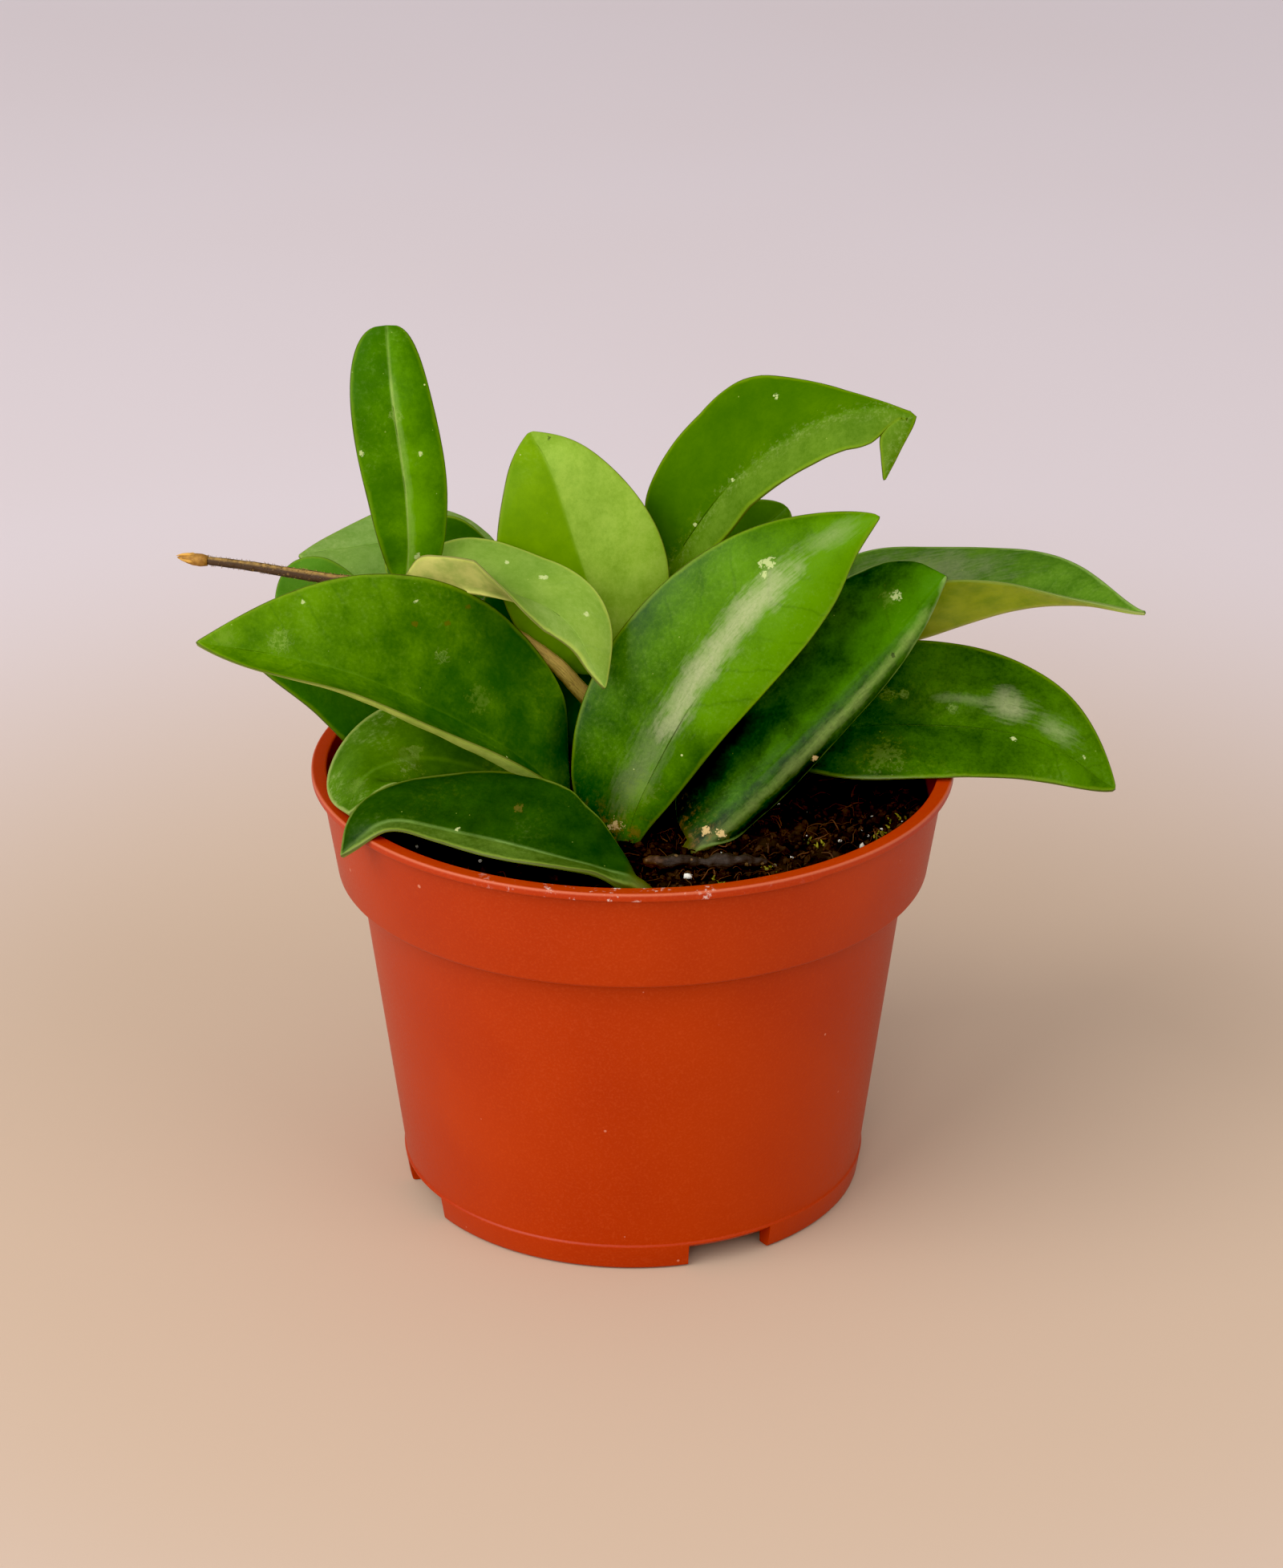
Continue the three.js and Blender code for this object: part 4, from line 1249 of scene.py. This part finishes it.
def leaf_outline(u, base, tip):
    """An outline that widens with one exponent and narrows with the other."""
    widest = base / (base + tip)
    rises = (np.maximum(u, 1e-9) / widest) ** base
    return np.where(u > 0, rises * ((1 - u) / (1 - widest)) ** tip, 0)


def drawn_outline(u, shares):
    """A smooth outline through evenly spaced shares of the width."""
    line = Curve([(n, share, 0) for n, share in enumerate(shares)]).points
    return np.maximum(np.interp(u * (len(shares) - 1), line[:, 0], line[:, 1]), 0)


def blade_relief(leaf, seed, u, shaped, grid):
    """How far the surface stands out from the plain folded blade."""
    travel, rib, halves, share, over = grid
    flat = np.stack([travel.ravel(), rib.ravel(), np.zeros(rib.size)], -1)
    room = smooth(halves, 2.0, 9.0) * smooth(u, 0.03, 0.2)[:, None] * (1 - smooth(u, 0.9, 1.0))[:, None]
    swell = RELIEF.swell * lumps(flat, RELIEF.swell_length, seed, 2).reshape(rib.shape)
    waves = travel / RELIEF.pucker_along - np.abs(rib) / RELIEF.pucker_across
    pucker = RELIEF.pucker * np.sin(2 * np.pi * waves + seed) * 4 * share * (1 - share)
    relief = leaf.quilt * (swell + pucker) * room
    # The fold over the midrib is rounded
    hollow = np.sqrt(rib**2 + leaf.round**2) - np.abs(rib)
    folds = sum(np.clip(between(spec[1], u), -40, 40) for spec in (leaf.left, leaf.right))
    room_at_rib = shaped * (1 - smooth(u, 0.8, 1.0))
    relief = relief + hollow * (np.sin(np.radians(folds / 2)) * room_at_rib)[:, None]
    # A groove over the midrib and a keel under it
    narrow = (smooth(u, 0.0, 0.08) * (1 - u) ** 0.6)[:, None]
    groove = leaf.groove * RELIEF.groove * np.exp(-((rib / RELIEF.groove_width) ** 2))
    keel = RELIEF.keel * np.exp(-((rib / RELIEF.keel_width) ** 2))
    return relief - narrow * np.where(over > 0, groove, np.where(over < 0, keel, 0))


def make_leaf(name, leaf, seed, material):
    """A round stalk that spreads into two halves, folded and curled about the midrib."""
    curve = Curve(leaf.path)
    stalk = leaf.stalk
    blade = curve.total - stalk
    t = np.arange(1, LEAF_RINGS + 1) / LEAF_RINGS
    along = stalk + blade * LAST_RING * (0.5 * t + 0.25 * (1 - np.cos(np.pi * t)))
    length = np.concatenate([np.linspace(0, stalk * 0.98, STALK_RINGS), along])
    u = np.clip((length - stalk) / blade, 0, 1)
    middle = curve.at(length)
    ahead = curve.ahead(length)
    up = between(unit(np.array(leaf.face, float)), u)
    up = unit(up - (up * ahead).sum(-1, keepdims=True) * ahead)
    side = np.cross(ahead, up)
    thickness = THICKNESS / 2 * (1 - THINNER * u)
    thickness = STALK_RADIUS + (thickness - STALK_RADIUS) * smooth(u, 0, 0.1)
    shaped = smooth(u, 0, leaf.fold_in)
    angles = section_angles()
    across, over = np.cos(angles), np.sin(angles)
    share = np.abs(across)
    lift = thickness[:, None] * np.sign(over) * np.abs(over) ** BLUNT
    rows, sides = len(length), len(angles)
    points = np.zeros((rows, sides, 3))
    halves = np.zeros((rows, sides))
    slopes = np.zeros((rows, sides))
    for sign, (width, folds, curl, *own) in ((-1, leaf.left), (1, leaf.right)):
        if len(own) == 1:
            outline = drawn_outline(u, own[0])
        else:
            outline = leaf_outline(u, *(own or (leaf.base, leaf.tip)))
        half = np.hypot(width * outline, STALK_RADIUS * (1 - u)) + LEAST_HALF
        fold = np.radians(between(folds, u)) * shaped
        bend = np.radians(between(curl if isinstance(curl, tuple) else (curl, curl), u)) * shaped
        bend = np.where(np.abs(bend) < LEAST_BEND, LEAST_BEND, bend)
        shift = RIGHT_SHIFT if sign > 0 else 0
        rise = WAVE * outline * np.sin(HALF_WAVES * math.pi * u + shift)
        for k in np.nonzero((across > 0) == (sign > 0))[0]:
            slope = fold - bend * share[k]
            x = half * (np.sin(fold) - np.sin(slope)) / bend
            z = half * (np.cos(slope) - np.cos(fold)) / bend + rise * share[k] ** 2
            if share[k] < 1e-9:
                x, z, slope = 0 * x, 0 * z, 0 * slope
            halves[:, k], slopes[:, k] = half, slope
            out = sign * (x - lift[:, k] * np.sin(slope))
            high = z + lift[:, k] * np.cos(slope)
            points[:, k] = middle + side * out[:, None] + up * high[:, None]
    rib = halves * share * np.sign(across)
    travel = (length - stalk)[:, None] + 0 * rib
    relief = blade_relief(leaf, seed, u, shaped, (travel, rib, halves, share, over))
    softened = slopes * np.abs(rib) / np.sqrt(rib**2 + leaf.round**2)
    lean = np.sin(softened) * np.sign(across)
    normal = up[:, None] * np.cos(softened)[:, :, None] - side[:, None] * lean[:, :, None]
    points = points + normal * relief[:, :, None]
    # Where the material finds itself: on the blade in millimetres, and as shares of it
    place = np.stack([travel, rib, halves * (1 - share)], -1)
    spot = np.stack([u[:, None] + 0 * rib, over + 0 * rib, share + 0 * rib], -1)
    points = np.vstack([points.reshape(-1, 3), curve.at(np.array([0.0, curve.total]))])
    place = np.vstack([place.reshape(-1, 3), [[-stalk, 0, STALK_RADIUS], [blade, 0, 0]]])
    spot = np.vstack([spot.reshape(-1, 3), [[0, 0.5, 0], [1, 0.5, 0]]])
    tags = {"blade": place, "spot": spot}
    return make_mesh(name + "_fine", points, loft_faces(rows, sides), material, tags)


# The object
EARTH = soil_material("soil_earth", (7, 5, 3), (38, 26, 15), (88, 58, 30))
CRUMB = soil_material("soil_crumb", (9, 6, 4), (58, 38, 21), (120, 80, 42))
FIBRE = bit_material("soil_fibre", (16, 9, 5), (92, 56, 26), 0.8)
MOSS = bit_material("moss", (48, 50, 10), (142, 136, 34), 0.85)
PERLITE = bit_material("perlite", (176, 172, 158), (232, 230, 220), 0.9)
add_piece(make_pot(plastic_material()), "pot", "pot")
add_piece(make_soil(EARTH), "soil", "soil")
add_piece(make_crumbs(CRUMB), "soil")
add_piece(make_fibres(FIBRE), "soil")
add_piece(make_moss(MOSS), "soil")
add_piece(make_perlite(PERLITE), "soil")

VINE = stem_material(
    "vine_skin", young=(196, 168, 82), old=(68, 46, 24), change=(52.0, 64.0), spots=(66, 46, 22),
    painted_top_light=(200, 160, 84),
)
STEM = stem_material(
    "stem_skin", young=(118, 122, 52), old=(132, 112, 60), change=(20.0, 60.0), spots=(92, 72, 36)
)
WOOD = stem_material(
    "bark", young=(104, 66, 34), old=(50, 36, 26), change=(0.0, 5.0), spots=(18, 12, 9)
)
BUD = bit_material("bud_skin", (110, 68, 22), (206, 156, 70), 0.6)
HAIR = bit_material("hair", (80, 58, 30), (176, 140, 84), 0.7)
for stem_name, stem in STEMS.items():
    skin = VINE if stem_name == "stem_vine" else STEM
    add_piece(make_stem(stem_name, stem, skin), "stems", stem_name)
add_piece(make_hairs(HAIR), "stems")
add_piece(make_bud(BUD), "bud", "vine_bud")
add_piece(make_bark(WOOD), "bark", "bark_bit")

for seed, (leaf_name, own) in enumerate(LEAVES.items(), 1):
    skin = leaf_material(leaf_name + "_skin", own, seed)
    add_piece(make_leaf(leaf_name, own, seed, skin), "leaves", leaf_name)


# Floor, light and camera, in metres
FLOOR_SIZE = 8
FLOOR_Z = -0.0002
LIGHTS_AIM = Vector((0, 0, 0.09))
WARM = (1.0, 0.97, 0.93)
YELLOW = (1.0, 0.96, 0.82)
SKY = (0.93, 0.90, 0.92, 1)
ROOM_LIGHT = 0.70
ROOM_IN_REFLECTIONS = 0.05
BLACK_LEVEL = 0.008
TARGET = Vector((-0.00325, 0.0, 0.079))
ELEVATION = math.radians(23.8)
CAMERA_AWAY = 0.75
SENSOR_MM = 36
# The photo's height and its focal length, both in its pixels
PHOTO_HEIGHT = 1955
PHOTO_FOCAL = 4984


def floor_material():
    """A card that goes from warm round the pot to pale far away."""
    s = Shader("floor_card")
    place = s.place()
    x, y, _ = s.split(place)
    away = (x * x + y * y).root()
    s.colour = s.mix(away.step(0.12, 0.40), (197, 174, 152), (214, 204, 208))
    s.paint(away.step(0.9, 3.0), (246, 238, 242))
    s.paint(s.noise(place, 3.0, 2.0).step(0.3, 0.7, 0.0, 0.06), (196, 172, 150))
    return s.finish(0.9, 0.2)


def add_light(name, place, size, power, colour, glints=True, fills=True):
    lamp = bpy.data.lights.new(name, "AREA")
    lamp.shape = "RECTANGLE"
    lamp.size, lamp.size_y = size
    lamp.energy = power
    lamp.color = colour
    obj = bpy.data.objects.new(name, lamp)
    obj.location = place
    obj.rotation_euler = (LIGHTS_AIM - Vector(place)).to_track_quat("-Z", "Y").to_euler()
    obj.visible_diffuse = fills
    obj.visible_glossy = glints
    bpy.context.scene.collection.objects.link(obj)


bpy.ops.mesh.primitive_plane_add(size=FLOOR_SIZE, location=(0, 0, FLOOR_Z))
floor = bpy.context.object
floor.name = "floor"
floor.data.materials.append(floor_material())

add_light("key", (-1.4, -1.0, 1.35), size=(1.9, 1.9), power=39, colour=WARM)
add_light("front", (-0.2, -1.45, 0.8), size=(0.5, 0.5), power=5, colour=WARM, glints=False)
add_light("fill", (1.5, -1.2, 1.5), size=(1.5, 1.5), power=10.5, colour=WARM, glints=False)
add_light(
    "strip_ridge", (0.02, -1.1, 0.95), size=(0.06, 0.8), power=1.0, colour=YELLOW, fills=False
)

world = bpy.data.worlds.new("studio")
bpy.context.scene.world = world
world.use_nodes = True
sky = world.node_tree.nodes["Background"]
sky.inputs["Color"].default_value = SKY
# Reflections see a darker room than the one that lights the object
ray = world.node_tree.nodes.new("ShaderNodeLightPath")
room = world.node_tree.nodes.new("ShaderNodeMapRange")
room.inputs["To Min"].default_value = ROOM_LIGHT
room.inputs["To Max"].default_value = ROOM_IN_REFLECTIONS
world.node_tree.links.new(ray.outputs["Is Glossy Ray"], room.inputs["Value"])
world.node_tree.links.new(room.outputs[0], sky.inputs["Strength"])

camera_data = bpy.data.cameras.new("camera")
camera_data.lens = PHOTO_FOCAL / PHOTO_HEIGHT * SENSOR_MM
camera_data.sensor_width = SENSOR_MM
camera = bpy.data.objects.new("camera", camera_data)
back = Vector((0, -math.cos(ELEVATION), math.sin(ELEVATION)))
camera.location = TARGET + back * CAMERA_AWAY
camera.rotation_euler = (-back).to_track_quat("-Z", "Y").to_euler()
bpy.context.scene.collection.objects.link(camera)
bpy.context.scene.camera = camera
view = bpy.context.scene.view_settings
view.view_transform = "Standard"
view.use_curve_mapping = True
view.curve_mapping.black_level = (BLACK_LEVEL, BLACK_LEVEL, BLACK_LEVEL)
view.curve_mapping.update()
